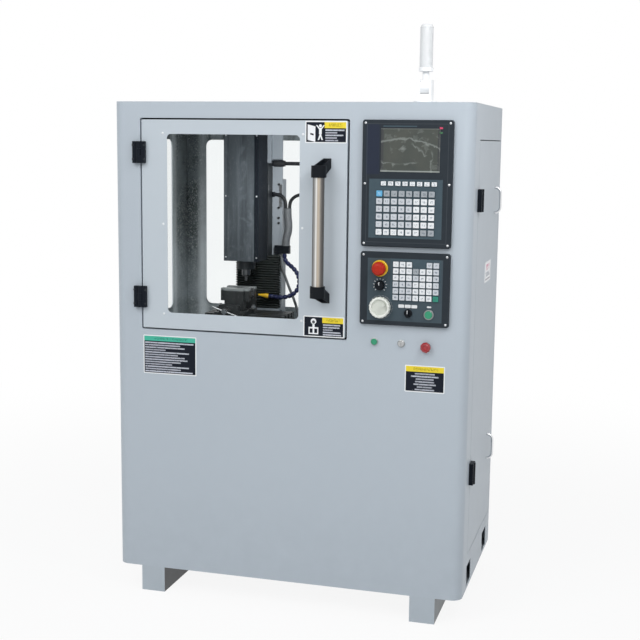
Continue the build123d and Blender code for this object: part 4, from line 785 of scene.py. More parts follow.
NODE_FINISH = {
    "foot_paint_and_shade": ["foot_rails"],
    "cabinet_paint": ["base_pan", "front_panel", "left_panel", "right_frame", "rear_panel",
                      "top_cover", "partition", "side_door"],
    "door_paint": ["door_panel"],
    "stainless": ["chamber_liner", "chip_tray", "coolant_tank"],
    "clear_pane": ["window_panes", "door_window"],
    "black_rubber": ["door_seal"],
    "black_hinge": ["hinge_plates", "front_hinge_leaves", "side_hinge_leaves"],
    "satin_tube": ["door_handle"],
    "black_plastic": ["door_handle_ends", "override_knob", "selector_knob", "cable_glands"],
    "chrome": ["side_door_pulls"],
    "ring_metal": ["button_rings"],
    "lock_metal": ["key_switch"],
    "bezel_plastic": ["display_bezel", "control_bezel"],
    "screen_glass": ["display_screen"],
    "key_mat": ["display_keys", "control_keys"],
    "yellow_plastic": ["stop_collar", "coolant_nozzle"],
    "red_plastic": ["stop_button", "red_button"],
    "green_plastic": ["start_button", "power_button"],
    "cream_plastic": ["handwheel"],
    "grey_casting": ["mill_base", "column"],
    "dark_steel": ["saddle", "table"],
    "vise_steel": ["vise_body", "vise_jaw"],
    "dark_casting": ["head_casting"],
    "dark_sheet": ["head_cover"],
    "bright_steel": ["vise_screw"],
    "dark_tool": ["spindle"],
    "bellows_rubber": ["z_bellows"],
    "blue_hose": ["coolant_hose"],
    "grey_hose": ["drain_hose", "cable_bundle"],
    "black_cable": ["cable_upper", "cables_lower"],
    "dark_frame": ["mill_stand"],
    "zinc_plate": ["drive_plate"],
    "drive_case": ["drive_units"],
    "white_plastic": ["tower_base", "tower_lamp"],
}


def dress_nodes():
    """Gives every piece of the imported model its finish."""
    for name, nodes in NODE_FINISH.items():
        for node in nodes:
            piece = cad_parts[node]
            if not piece.material_slots:
                piece.data.materials.append(finish_of(name))
            for slot in piece.material_slots:
                slot.link = "OBJECT"
                slot.material = finish_of(name)


# Shapes


def placed(name, data):
    """Adds an object to the scene."""
    made = bpy.data.objects.new(name, data)
    bpy.context.scene.collection.objects.link(made)
    return made


def new_piece(name, mesh, finish, body):
    """A finished mesh, in its place in the frame, on the body that it moves with."""
    mesh.materials.clear()
    mesh.materials.append(finish_of(finish))
    piece = placed(name, mesh)
    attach(piece, body)
    return piece


def all_smooth(mesh):
    mesh.polygons.foreach_set("use_smooth", [True] * len(mesh.polygons))


def mesh_of(bm, name, smooth=None):
    """Closes a bmesh into a mesh with its faces outwards, smooth below an angle in degrees."""
    bmesh.ops.remove_doubles(bm, verts=bm.verts, dist=1e-6)
    bmesh.ops.recalc_face_normals(bm, faces=bm.faces)
    mesh = bpy.data.meshes.new(name)
    bm.to_mesh(mesh)
    bm.free()
    if smooth:
        mesh.set_sharp_from_angle(angle=math.radians(smooth))
        all_smooth(mesh)
    return mesh


def turned(points, steps=32, turn=UPRIGHT, place=Vector()):
    """Turned body: points are (radius, height) in millimetres, along Z before it is turned."""
    bm = bmesh.new()
    verts = [bm.verts.new((r / 1000, 0, h / 1000)) for r, h in points]
    for first, second in zip(verts, verts[1:]):
        bm.edges.new((first, second))
    bmesh.ops.spin(bm, geom=bm.verts[:] + bm.edges[:], cent=(0, 0, 0), axis=(0, 0, 1),
                   angle=math.radians(360), steps=steps, use_merge=True)
    bmesh.ops.transform(bm, matrix=Matrix.Translation(place) @ turn.to_matrix().to_4x4(), verts=bm.verts)
    return bm


def rounded_outline(w, h, r, steps=4):
    """Corner points of a rounded rectangle about the origin, anticlockwise."""
    points = []
    for i, (sx, sy) in enumerate(((1, 1), (-1, 1), (-1, -1), (1, -1))):
        for k in range(steps + 1):
            angle = math.radians(90 * i + 90 * k / steps)
            points.append((sx * (w / 2 - r) + r * math.cos(angle), sy * (h / 2 - r) + r * math.sin(angle)))
    return points


def loft(bm, outlines):
    """Closed body through outlines that have the same number of points."""
    rings = [[bm.verts.new(point) for point in outline] for outline in outlines]
    for lower, upper in zip(rings, rings[1:]):
        for i in range(len(lower)):
            j = (i + 1) % len(lower)
            bm.faces.new((lower[i], lower[j], upper[j], upper[i]))
    bm.faces.new(rings[-1])
    bm.faces.new(rings[0][::-1])
    return bm


def slab(w, h, t, r, edge=0.0, turn=UPRIGHT, place=Vector(), into=None):
    """Plate with rounded corners and a soft front edge, in millimetres, t thick along Z."""
    layers = [(0.0, 0.0), (0.0, t - edge), (edge, t)] if edge else [(0.0, 0.0), (0.0, t)]
    matrix = Matrix.Translation(place) @ turn.to_matrix().to_4x4()
    outlines = [[matrix @ Vector((x / 1000, y / 1000, height / 1000))
                 for x, y in rounded_outline(w - 2 * inset, h - 2 * inset, max(r - inset, 0.01))]
                for inset, height in layers]
    return loft(into or bmesh.new(), outlines)


def bar(size, place, into, edge=0.4):
    """Small block with soft edges: its size in millimetres, about a point of the frame."""
    made = bmesh.ops.create_cube(into, size=1.0)
    scale = Matrix.Diagonal((size[0] / 1000, size[1] / 1000, size[2] / 1000, 1.0))
    bmesh.ops.transform(into, matrix=Matrix.Translation(place) @ scale, verts=made["verts"])
    edges = {e for v in made["verts"] for e in v.link_edges}
    bmesh.ops.bevel(into, geom=list(edges), offset=edge / 1000, segments=2, affect="EDGES", profile=0.6)


def plate_piece(name, shape, turn, place, finish, body="cabinet", smooth=None):
    """One slab as a piece: shape is its width, height, thickness, corner radius and edge."""
    return new_piece(name, mesh_of(slab(*shape, turn, place), name, smooth), finish, body)


def shape_tree(name, inputs):
    """Starts a tree that makes a shape, with a named input for each of its sizes."""
    tree = bpy.data.node_groups.new(name, "GeometryNodeTree")
    sockets = (("Geometry", "Geometry"), *inputs, ("Finish", "Material"))
    for socket, kind in sockets:
        tree.interface.new_socket(socket, in_out="INPUT", socket_type="NodeSocket" + kind)
    tree.interface.new_socket("Geometry", in_out="OUTPUT", socket_type="NodeSocketGeometry")
    return tree, tree.nodes.new("NodeGroupInput")


def finish_tree(tree, start, made):
    """Ends a tree: makes its copies real and gives them their finish."""
    real = tree.nodes.new("GeometryNodeRealizeInstances")
    paint = tree.nodes.new("GeometryNodeSetMaterial")
    end = tree.nodes.new("NodeGroupOutput")
    tree.links.new(made, real.inputs["Geometry"])
    tree.links.new(real.outputs["Geometry"], paint.inputs["Geometry"])
    tree.links.new(start.outputs["Finish"], paint.inputs["Material"])
    tree.links.new(paint.outputs["Geometry"], end.inputs["Geometry"])
    return tree


def repeat_tree():
    """Sets one shape on every point it is given, turned alike and spun by chance."""
    tree, start = shape_tree("repeat_shape", (("Shape", "Object"), ("Turn", "Vector"), ("Spin", "Float"),
                                              ("Seed", "Int")))
    nodes = tree.nodes
    join = tree.links.new
    shape = nodes.new("GeometryNodeObjectInfo")
    spread = nodes.new("GeometryNodeInstanceOnPoints")
    chance = nodes.new("FunctionNodeRandomValue")
    axis = nodes.new("ShaderNodeCombineXYZ")
    spin = nodes.new("GeometryNodeRotateInstances")
    join(start.outputs["Geometry"], spread.inputs["Points"])
    join(start.outputs["Shape"], shape.inputs["Object"])
    join(shape.outputs["Geometry"], spread.inputs["Instance"])
    join(start.outputs["Turn"], spread.inputs["Rotation"])
    join(start.outputs["Spin"], chance.inputs[3])
    join(start.outputs["Seed"], chance.inputs["Seed"])
    join(chance.outputs[1], axis.inputs["Z"])
    join(spread.outputs["Instances"], spin.inputs["Instances"])
    join(axis.outputs["Vector"], spin.inputs["Rotation"])
    return finish_tree(tree, start, spin.outputs["Instances"])


def baked(holder, tree, values, name):
    """Runs a node tree on a holder and returns the plain mesh."""
    modifier = holder.modifiers.new("shape", "NODES")
    modifier.node_group = tree
    for item in tree.interface.items_tree:
        if item.in_out == "INPUT" and item.name in values:
            modifier[item.identifier] = values[item.name]
    graph = bpy.context.evaluated_depsgraph_get()
    mesh = bpy.data.meshes.new_from_object(holder.evaluated_get(graph))
    mesh.name = name
    bpy.data.objects.remove(holder)
    return mesh


def repeated(name, shape, places, finish, body, turn=UPRIGHT, spin=0.0):
    """One piece made of a small shape at many places."""
    tree = bpy.data.node_groups.get("repeat_shape") or repeat_tree()
    points = bpy.data.meshes.new(name + "_points")
    points.from_pydata([tuple(place) for place in places], [], [])
    model = placed(name + "_shape", shape)
    mesh = baked(placed(name + "_points", points), tree,
                 {"Shape": model, "Turn": tuple(turn), "Spin": spin, "Seed": 1,
                  "Finish": finish_of(finish)}, name)
    bpy.data.objects.remove(model)
    return new_piece(name, mesh, finish, body)


def screw_head(r, h, name):
    """Low domed screw head with a cross recess."""
    bm = turned(((0, -0.4), (r, -0.4), (r, h * 0.35), (r * 0.82, h * 0.8), (r * 0.4, h), (0, h)), 20)
    for quarter in (0, 90):
        arm = Euler((0, 0, math.radians(quarter)))
        slab(r * 1.2, r * 0.26, 0.06, 0.05, turn=arm, place=Vector((0, 0, h / 1000)), into=bm)
    return mesh_of(bm, name, 40)


def socket_head(r, h, name):
    """Cap screw: a cylinder with a chamfer and a round hole."""
    bm = turned(((0, -0.5), (r, -0.5), (r, h - r * 0.15), (r * 0.85, h), (r * 0.55, h), (r * 0.5, h * 0.4),
                 (0, h * 0.4)), 24)
    return mesh_of(bm, name, 35)


# Cords

BALL_R = 7.4
DRAIN_R = 4.5
CABLE_R = 5.5
UPPER_R = 6.0
BUNDLE_R = 13.0
COLUMN_EDGE = 395.5
COLUMN_FACE = 400.0
HEAD_SIDE = 371.0
PARTITION_U = 735.0
CABLE_V = 391.0
UPPER_Z = 1340.0
HOSE_ROUTE = [at(COLUMN_EDGE + du, COLUMN_FACE + dv, z) for du, dv, z in (
    (11.5, -8.0, 1047.0), (11.5, -8.0, 1030.0), (22.5, -12.0, 1016.0), (42.5, -18.0, 1004.0),
    (61.5, -23.0, 985.0), (71.5, -29.0, 958.0), (65.5, -36.0, 931.0), (47.5, -43.0, 914.0),
    (22.5, -49.0, 907.0), (-1.5, -54.0, 908.0), (-26.5, -59.0, 911.0))]
DRAIN_ROUTE = [at(COLUMN_EDGE + du, COLUMN_FACE + dv, z) for du, dv, z in (
    (-4.5, -6.5, 1047.0), (-4.5, -6.5, 1026.0), (1.5, -6.0, 1001.0), (12.5, -4.0, 972.0),
    (25.5, -2.0, 936.0), (42.5, 1.0, 896.0), (56.5, 4.0, 852.0), (63.5, 6.0, 802.0),
    (63.5, 6.0, 747.0))]
LEFT_ROUTE = [at(u, CABLE_V, z) for u, z in (
    (HEAD_SIDE, 1240.0), (388.0, 1240.0), (402.5, 1231.0), (410.5, 1214.0), (410.5, 1195.0))]
RIGHT_ROUTE = [at(u, CABLE_V, z) for u, z in (
    (PARTITION_U, 1246.0), (700.0, 1246.0), (650.0, 1238.0), (596.0, 1232.0), (546.0, 1235.0),
    (508.0, 1241.0),
    (478.0, 1243.0), (455.0, 1240.0), (436.0, 1231.0), (423.5, 1214.0), (423.5, 1195.0))]
BUNDLE_ROUTE = [at(u, CABLE_V, z) for u, z in (
    (417.0, 1195.0), (417.0, 1171.0), (420.5, 1146.0), (420.0, 1119.0), (412.0, 1096.0), (412.0, 1073.0))]
UPPER_ROUTE = [at(u, CABLE_V, UPPER_Z) for u in (HEAD_SIDE, PARTITION_U)]


def spline_of(name, route, radius=0.0):
    """Smooth line through a route's control points, as a tube where it has a radius."""
    curve = bpy.data.curves.new(name, "CURVE")
    curve.dimensions = "3D"
    curve.resolution_u = 12
    spline = curve.splines.new("NURBS")
    spline.points.add(len(route) - 1)
    for point, place in zip(spline.points, route):
        point.co = (*place, 1.0)
    spline.order_u = 3
    spline.use_endpoint_u = True
    curve.bevel_depth = radius / 1000
    curve.bevel_resolution = 6
    curve.use_fill_caps = True
    return curve


def line_of(name, route):
    """Points along a route's smooth line."""
    holder = placed(name + "_line", spline_of(name + "_line", route))
    graph = bpy.context.evaluated_depsgraph_get()
    mesh = bpy.data.meshes.new_from_object(holder.evaluated_get(graph))
    points = [v.co.copy() for v in mesh.vertices]
    bpy.data.objects.remove(holder)
    bpy.data.meshes.remove(mesh)
    return points


def length_of(points):
    return sum((b - a).length for a, b in zip(points, points[1:]))


def plain_cord(name, route, radius, node=None):
    """Round cable along a route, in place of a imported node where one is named."""
    curve = spline_of(name, route, radius)
    curve.materials.append(finish_of("black_cable"))
    cord = placed(name, curve)
    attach(cord, "cabinet")
    if node:
        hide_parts(node)
    length_of(line_of(name, route))


TUBE_SIDES = 20


def tube_tree():
    """Sweeps a ring along a line, its radius rising and falling at a pitch: balls, ribs or a plain tube."""
    measures = [(name, "Float") for name in ("Radius", "Pitch", "Waist", "Step")]
    tree, start = shape_tree("ribbed_tube", measures)
    nodes = tree.nodes
    join = tree.links.new
    fine = nodes.new("GeometryNodeResampleCurve")
    fine.mode = "LENGTH"
    along = nodes.new("GeometryNodeSplineParameter")
    section = nodes.new("GeometryNodeCurvePrimitiveCircle")
    section.inputs["Resolution"].default_value = TUBE_SIDES
    section.inputs["Radius"].default_value = 1.0
    sweep = nodes.new("GeometryNodeCurveToMesh")
    sweep.inputs["Fill Caps"].default_value = True

    def maths(operation, first, second):
        made = nodes.new("ShaderNodeMath")
        made.operation = operation
        for socket, value in zip(made.inputs, (first, second)):
            if isinstance(value, float):
                socket.default_value = value
            else:
                join(value, socket)
        return made.outputs[0]

    beat = maths("FRACT", maths("DIVIDE", along.outputs["Length"], start.outputs["Pitch"]), 0.0)
    swing = maths("ABSOLUTE", maths("SUBTRACT", beat, 0.5), 0.0)
    drop = maths("POWER", maths("MULTIPLY", swing, 2.0), 3.0)
    share = maths("SUBTRACT", 1.0, maths("MULTIPLY", drop, start.outputs["Waist"]))
    join(start.outputs["Geometry"], fine.inputs["Curve"])
    join(start.outputs["Step"], fine.inputs["Length"])
    join(fine.outputs["Curve"], sweep.inputs["Curve"])
    join(section.outputs["Curve"], sweep.inputs["Profile Curve"])
    join(maths("MULTIPLY", share, start.outputs["Radius"]), sweep.inputs["Scale"])
    return finish_tree(tree, start, sweep.outputs["Mesh"])


def ribbed_tube(name, route, radius, pitch, waist, step, slot, node):
    """Mesh tube with balls or ribs along a route's smooth line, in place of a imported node."""
    tree = bpy.data.node_groups.get("ribbed_tube") or tube_tree()
    holder = placed(name + "_route", spline_of(name + "_route", route))
    mesh = baked(holder, tree, {"Radius": radius / 1000, "Pitch": pitch / 1000, "Waist": waist,
                                "Step": step / 1000, "Finish": finish_of(slot)}, name)
    all_smooth(mesh)
    piece = new_piece(name, mesh, slot, "cabinet")
    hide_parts(node)
    return piece


def make_cords():
    plain_cord("upper_cable", UPPER_ROUTE, UPPER_R)
    plain_cord("left_cable", LEFT_ROUTE, CABLE_R)
    plain_cord("right_cable", RIGHT_ROUTE, CABLE_R, "cables_lower")
    hose = ribbed_tube("ball_hose", HOSE_ROUTE, BALL_R, 15.0, 0.42, 0.9, "blue_hose", "coolant_hose")
    path = line_of("ball_hose", HOSE_ROUTE)
    drain = ribbed_tube("drain_tube", DRAIN_ROUTE, DRAIN_R, 3.2, 0.16, 0.8, "grey_hose", "drain_hose")
    path = line_of("drain_tube", DRAIN_ROUTE)
    ribbed_tube("cable_sleeve", BUNDLE_ROUTE, BUNDLE_R, 4.0, 0.1, 1.0, "grey_hose", "cable_bundle")
    profile = ((0, 0), (11, 0), (11, 30), (9.5, 34), (9.5, 37), (6, 37), (0, 37))
    grip = turned(profile, 28, TO_RIGHT, at(HEAD_SIDE, CABLE_V - 2.5, UPPER_Z))
    piece = new_piece("cable_grip", mesh_of(grip, "cable_grip", 40), "black_cable", "cabinet")
    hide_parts("cable_upper")


# Front of the cabinet

YELLOW = (0.84, 0.66, 0.05)
TEAL = (0.075, 0.47, 0.34)
FILM_T = 0.35

# Name, place as left, right, bottom and top, header, header's share, rows of bars, centred, picture.
LABELS = (
    ("door_label_top", (590.6, 714.7, 1407.0, 1469.6), YELLOW, 0.27, 5, False, slanted_leaf),
    ("door_label_low", (590.4, 714.6, 843.0, 905.0), YELLOW, 0.27, 5, False, shield),
    ("panel_label_left", (78.4, 252.2, 700.0, 819.6), TEAL, 0.12, 13, False, None),
    ("panel_label_right", (898.0, 1015.0, 698.0, 777.0), YELLOW, 0.2, 7, True, None),
)


def stickers():
    for name, place, *look in LABELS:
        left, right, bottom, top = place
        label(name, place, *look)
        body = "front_door" if name.startswith("door") else "cabinet"
        plate_piece(name, (right - left, top - bottom, FILM_T, 2.5, 0.1), TO_FRONT,
                    at((left + right) / 2, 0, (bottom + top) / 2), name, body=body)
    plate_piece("side_plate", (SIDE_PLATE_H, SIDE_PLATE_D, FILM_T, 2.5, 0.1), TO_RIGHT,
                at(CAB_W, SIDE_PLATE_V, SIDE_PLATE_Z), "side_label", body="side_door")


BEZEL_SCREW_IN = 9.0
DISPLAY_SCREW_Z = (1125.5, 1295.5, 1465.5)
CONTROL_SCREW_Z = (900.0, 1093.0)
WINDOW_SCREW_U = (147.5, 584.0)
WINDOW_SCREW_Z = (1431.0, 1161.0, 888.0)
ANY_TURN = 3.0


def bezel_screws():
    sides = (low("control_bezel").x + BEZEL_SCREW_IN, high("control_bezel").x - BEZEL_SCREW_IN)
    places = [at(u, PLATE_V, z) for heights in (DISPLAY_SCREW_Z, CONTROL_SCREW_Z)
              for u in sides for z in heights]
    repeated("bezel_screws", screw_head(3.4, 1.6, "bezel_screw"), places, "screw_steel", "cabinet",
             TO_FRONT, spin=ANY_TURN)


def window_screws():
    places = [at(u, 0, z) for u in WINDOW_SCREW_U for z in WINDOW_SCREW_Z]
    repeated("window_screws", screw_head(3.6, 1.8, "window_screw"), places, "screw_white", "front_door",
             TO_FRONT, spin=ANY_TURN)


HINGE_OUT = 12.0
HINGE_U = 73.0
HINGE_Z = (938.0, 1374.0)
SIDE_HINGE_V = 108.0
SIDE_HINGE_Z = (441.0, 1249.0)
LEAF_MIDDLE = 18.0
LEAF_SCREW = 21.0


def hinge_screws():
    """Two screws in each leaf of the four hinges."""
    leaves = (("fixed", -LEAF_MIDDLE), ("door", LEAF_MIDDLE))
    rows = (-LEAF_SCREW, LEAF_SCREW)
    for name, side in leaves:
        places = [at(HINGE_U + side, -HINGE_OUT, z + dz) for z in HINGE_Z for dz in rows]
        repeated("hinge_screws_" + name, socket_head(3.2, 1.2, "hinge_screw"), places, "screw_black",
                 "front_door" if name == "door" else "cabinet", TO_FRONT)
    for name, side in leaves:
        places = [at(CAB_W + HINGE_OUT, SIDE_HINGE_V + side, z + dz) for z in SIDE_HINGE_Z for dz in rows]
        repeated("side_screws_" + name, socket_head(3.2, 1.2, "side_screw"), places, "screw_black",
                 "side_door" if name == "door" else "cabinet", TO_RIGHT)


# First key's u and z, and the pitch across and down.
DISPLAY_GRID = (815.5, 1268.0, 21.5, 21.8)
CONTROL_GRID = (868.0, 1068.0, 19.4, 19.0)
SOFT_GRID = (827.0, 1296.5, 20.8, 30.0)
SOFT_KEYS = 8
DISPLAY_COLOURS = ("bggggggg", "lllllwww", "lllllwww", "lllllwww", "lllllwww", "wwwwwwgg")
CONTROL_COLOURS = ("www..ll", "wwwgwwl", "wwwlwwl", "lllwwwl", "lllwwwl", "lllwwwn")
CAP_TONES = {
    "w": ((0.82, 0.84, 0.86), (0.28, 0.31, 0.36)),
    "l": ((0.6, 0.63, 0.67), (0.17, 0.2, 0.25)),
    "g": ((0.36, 0.39, 0.42), (0.1, 0.12, 0.15)),
    "b": ((0.12, 0.42, 0.68), (0.5, 0.65, 0.8)),
    "n": ((0.02, 0.24, 0.17), (0.02, 0.16, 0.11)),
}
CAP_T = 0.6


def caps_of(name, tone, grid, keys, shape):
    """Caps of one tone on a pad: keys are their columns and rows in the grid."""
    u0, z0, pitch_u, pitch_z = grid
    key_cap(name, *CAP_TONES[tone], grid)
    places = [at(u0 + column * pitch_u, KEY_V, z0 - row * pitch_z) for column, row in keys]
    width, height, corner = shape
    cap = mesh_of(slab(width, height, CAP_T, corner, 0.45), name + "_cap")
    repeated(name, cap, places, name, "cabinet", TO_FRONT)


def key_caps():
    """Thin moulded caps on the keys of both pads, one piece for each tone."""
    for pad, grid, rows, shape in (("display", DISPLAY_GRID, DISPLAY_COLOURS, (17.0, 16.5, 1.6)),
                                   ("control", CONTROL_GRID, CONTROL_COLOURS, (16.0, 15.5, 1.6))):
        for tone in CAP_TONES:
            keys = [(column, row) for row, line in enumerate(rows)
                    for column, mark in enumerate(line) if mark == tone]
            if keys:
                caps_of(pad + "_caps_" + tone, tone, grid, keys, shape)
    caps_of("soft_caps", "w", SOFT_GRID, [(column, 0) for column in range(SOFT_KEYS)], (15.0, 12.0, 1.2))


LED_U = 988.0
LED_Z = {"red": 1452.0, "green": 1439.0}
LENS_U = (885.6, 904.5, 923.4)
LENS_Z = 948.5


def screen_marks():
    """Lamps, the plain strip above the display and the small lenses of the operator's plate."""
    for tone, z in LED_Z.items():
        plate_piece(tone + "_led", (9, 5.5, 1.0, 1.5, 0.4), TO_FRONT, at(LED_U, PLATE_V, z), tone + "_lamp",
                    smooth=40)
    plate_piece("title_strip", (97, 3.4, 0.3, 0.8, 0.1), TO_FRONT, at(871, PLATE_V, 1456.5), "key_mat")
    lens = mesh_of(slab(17, 9.5, 1.2, 2.0, 0.5), "lens")
    repeated("small_lenses", lens, [at(u, PLATE_V, LENS_Z) for u in LENS_U], "white_mark", "cabinet",
             TO_FRONT)
    plate_piece("start_tag", (12, 4.5, 0.4, 0.8, 0.1), TO_FRONT, at(966, PLATE_V, 949), "white_mark")


def ring_of_ticks(name, node, radius, length, width, count, start, end):
    """Plain scale lines round a knob, from one angle in degrees to another."""
    centre = middle(node)
    bm = bmesh.new()
    for i in range(count):
        angle = math.radians(start + (end - start) * i / (count - 1))
        place = at(centre.x + radius * math.sin(angle), PLATE_V, centre.z + radius * math.cos(angle))
        slab(width, length, 0.25, 0.2, 0, Euler((math.radians(90), angle, 0)), place, bm)
    new_piece(name, mesh_of(bm, name), "white_mark", "cabinet")


def pointer(name, node, width, length, up):
    """Raised line on a knob's front, above its middle."""
    centre = middle(node)
    plate_piece(name, (width, length, 0.5, 0.8, 0.15), TO_FRONT, at(centre.x, low(node).y, centre.z + up),
                "white_mark", body=node)


LOBES = 18
LOBE_AT = 27.8
LOBE_V = -16.5
RIM_V = -31.0


def dial_marks():
    ring_of_ticks("dial_scale", "override_knob", 18.5, 4.2, 1.5, 11, -135, 135)
    pointer("dial_pointer", "override_knob", 2.2, 9.0, 5.5)
    pointer("selector_pointer", "selector_knob", 2.0, 10.0, 5.0)
    ring_of_ticks("wheel_scale", "handwheel", 33.5, 2.2, 0.6, 50, 0, 352.8)
    centre = middle("handwheel")
    lobe = mesh_of(turned(((0, 0), (3.0, 0), (3.0, 13.0), (1.8, 15.2), (0, 15.2)), 16), "lobe")
    angles = [math.radians(360 * i / LOBES) for i in range(LOBES)]
    places = [at(centre.x + LOBE_AT * math.sin(angle), LOBE_V, centre.z + LOBE_AT * math.cos(angle))
              for angle in angles]
    repeated("wheel_lobes", lobe, places, "cream_rim", "handwheel", TO_FRONT)
    profile = ((23.6, 0), (27.4, 0), (28.4, 1.0), (27.4, 1.6), (24.4, 1.6), (23.6, 0.8))
    rim = turned(profile, 48, TO_FRONT, at(centre.x, RIM_V, centre.z))
    new_piece("wheel_rim", mesh_of(rim, "wheel_rim", 50), "cream_rim", "handwheel")


CAP_FACETS = 9


def red_button():
    """Faceted red cap on its stem."""
    centre = middle("red_button")
    profile = ((0, -20.0), (7.0, -20.0), (7.0, 9.4), (14.2, 9.4), (15.4, 11.0), (15.4, 13.6), (12.0, 17.4),
               (8.0, 18.6), (6.4, 16.6), (0, 16.2))
    cap = turned(profile, CAP_FACETS, TO_FRONT, at(centre.x, 0, centre.z))
    piece = new_piece("red_cap", mesh_of(cap, "red_cap"), "clear_red", "red_button")
    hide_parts("red_button")


# The mill

BELLOWS_FOLD = 6.0
BELLOWS_FOLDS = 22
BELLOWS_WAVE = (1.0, 0.35, 0.0, 0.35)


def bellows():
    """Pleated way cover from the column's foot to the head, in soft folds."""
    start, end, centre = low("z_bellows"), high("z_bellows"), middle("z_bellows")
    steps = BELLOWS_FOLDS * len(BELLOWS_WAVE)
    outlines = []
    for i in range(steps + 1):
        inset = BELLOWS_FOLD * BELLOWS_WAVE[i % len(BELLOWS_WAVE)]
        z = start.z + (end.z - start.z) * i / steps
        outline = rounded_outline(end.x - start.x - 2 * inset, end.y - start.y - inset, 2.0, 2)
        outlines.append([at(centre.x + x, centre.y + y, z) for x, y in outline])
    mesh = mesh_of(loft(bmesh.new(), outlines), "way_bellows", 50)
    mesh.materials.append(finish_of("bellows_rubber"))
    piece = placed("way_bellows", mesh)
    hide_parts("z_bellows")
    at(centre.x, centre.y, start.z)
    at(centre.x, centre.y, end.z)
    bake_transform(piece)


COLUMN_HALF = 71.5
COLUMN_BACK_HALF = 30.0
COLUMN_SQUARE = 42.0
COLUMN_SQUARE_TOP = 6.0
COLUMN_STEP_Z = 1288.0
COLUMN_TOP = 1452.0
WAY_OFF = 30.0
WAY_W = 15.0
WAY_LOW = 905.0
SHELF_T = 8.0
MOTOR_HALF = 30.0
MOTOR_V = (426.0, 486.0)


def prism(corners, z0, z1, bm):
    """Upright body with a polygon plan: corners are (u, v), anticlockwise from above."""
    loft(bm, [[at(u, v, z) for u, v in corners] for z in (z0, z1)])


def block(u0, u1, v0, v1, z0, z1, bm):
    prism(((u0, v0), (u1, v0), (u1, v1), (u0, v1)), z0, z1, bm)


def tapered_column():
    """Column casting that narrows to the back, with its two ways, the bellows' foot and the motor."""
    node, shelf, u = low("column"), low("z_bellows"), middle("column").x
    front, back = COLUMN_FACE, high("column").y
    bm = bmesh.new()
    for square, z0, z1 in ((COLUMN_SQUARE, node.z, COLUMN_STEP_Z),
                           (COLUMN_SQUARE_TOP, COLUMN_STEP_Z, COLUMN_TOP)):
        prism(((u - COLUMN_HALF, front), (u + COLUMN_HALF, front), (u + COLUMN_HALF, front + square),
               (u + COLUMN_BACK_HALF, back), (u - COLUMN_BACK_HALF, back), (u - COLUMN_HALF, front + square)),
              z0, z1, bm)
    for way in (u - WAY_OFF, u + WAY_OFF):
        block(way - WAY_W / 2, way + WAY_W / 2, front - WAY_W, front, WAY_LOW, COLUMN_TOP, bm)
    block(shelf.x, high("z_bellows").x, shelf.y, front, shelf.z - SHELF_T, shelf.z, bm)
    block(u - MOTOR_HALF, u + MOTOR_HALF, *MOTOR_V, COLUMN_TOP, high("column").z, bm)
    piece = new_piece("column_casting", mesh_of(bm, "column_casting"), "grey_casting", "cabinet")
    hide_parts("column")


COLUMN_BOLT_U = 384.0
COLUMN_BOLT_Z = (1272.0, 1196.0, 1163.0, 1146.0)


def column_fittings():
    places = [at(COLUMN_BOLT_U, COLUMN_FACE, z) for z in COLUMN_BOLT_Z]
    repeated("column_bolts", socket_head(4.0, 4.0, "column_bolt"), places, "dark_steel", "cabinet",
             TO_FRONT)
    plate_piece("column_plate", (10, 74, 1.2, 1.0, 0.3), TO_FRONT, at(389.5, COLUMN_FACE, 1235),
                "screw_steel")


CLAMP_OFF = 54.5
CLAMP_V = 230.0
JAW_PLATE_W = 90.0
JAW_PLATE_H = 34.0
JAW_PLATE_Z = 929.0


def jaw_plate(name, v, thickness, edge, body):
    bm = bmesh.new()
    bar((JAW_PLATE_W, thickness, JAW_PLATE_H), at(middle("vise_body").x, v, JAW_PLATE_Z), bm, edge)
    new_piece(name, mesh_of(bm, name), "bright_steel", body)


def table_clamps():
    """Strap clamps and nuts that hold the vise's base on the table, and its bright jaw plates."""
    vise_u, deck = middle("vise_body").x, high("table").z
    bm = bmesh.new()
    for side in (-1, 1):
        bar((22, 15, 7), at(vise_u + side * CLAMP_OFF, CLAMP_V, deck + 13.5), bm, 0.8)
        bar((7, 15, 9.5), at(vise_u + side * (CLAMP_OFF + 7.5), CLAMP_V, deck + 4.8), bm, 0.8)
    new_piece("strap_clamps", mesh_of(bm, "strap_clamps", 40), "dark_steel", "table")
    nut = mesh_of(turned(((0, 0), (7.5, 0), (7.5, 6), (6.4, 7), (4, 7), (4, 11), (0, 11)), 6), "nut")
    places = [at(vise_u + side * (CLAMP_OFF + 1), CLAMP_V, deck + 17) for side in (-1, 1)]
    repeated("clamp_nuts", nut, places, "bright_steel", "table")
    jaw = high("vise_jaw").y
    jaw_plate("fixed_jaw_plate", jaw + 35.75, 0.6, 0.2, "table")
    jaw_plate("moving_jaw_plate", jaw + 0.5, 1.1, 0.3, "vise_jaw")


COVER_SCREW_OFF = 51.0
COVER_SCREW_Z = (1048.0, 1240.0, 1428.0)


def cover_screws():
    centre, front = middle("head_cover").x, low("head_cover").y
    places = [at(centre + off, front, z) for off in (-COVER_SCREW_OFF, COVER_SCREW_OFF)
              for z in COVER_SCREW_Z]
    repeated("cover_screws", screw_head(2.6, 1.3, "cover_screw"), places, "screw_steel", "head",
             TO_FRONT, spin=ANY_TURN)


DRIVES = 3
DRIVE_V = 120.0
DRIVE_PITCH = 110.0
DRIVE_MIDDLE = 40.0
DRIVE_SLOTS = 9
SLOT_PITCH = 6.0
SLOT_DOWN = 280.0
TERMINALS = 8
TERMINAL_V = 12.0
TERMINAL_PITCH = 8.0
TERMINAL_DOWN = 380.0


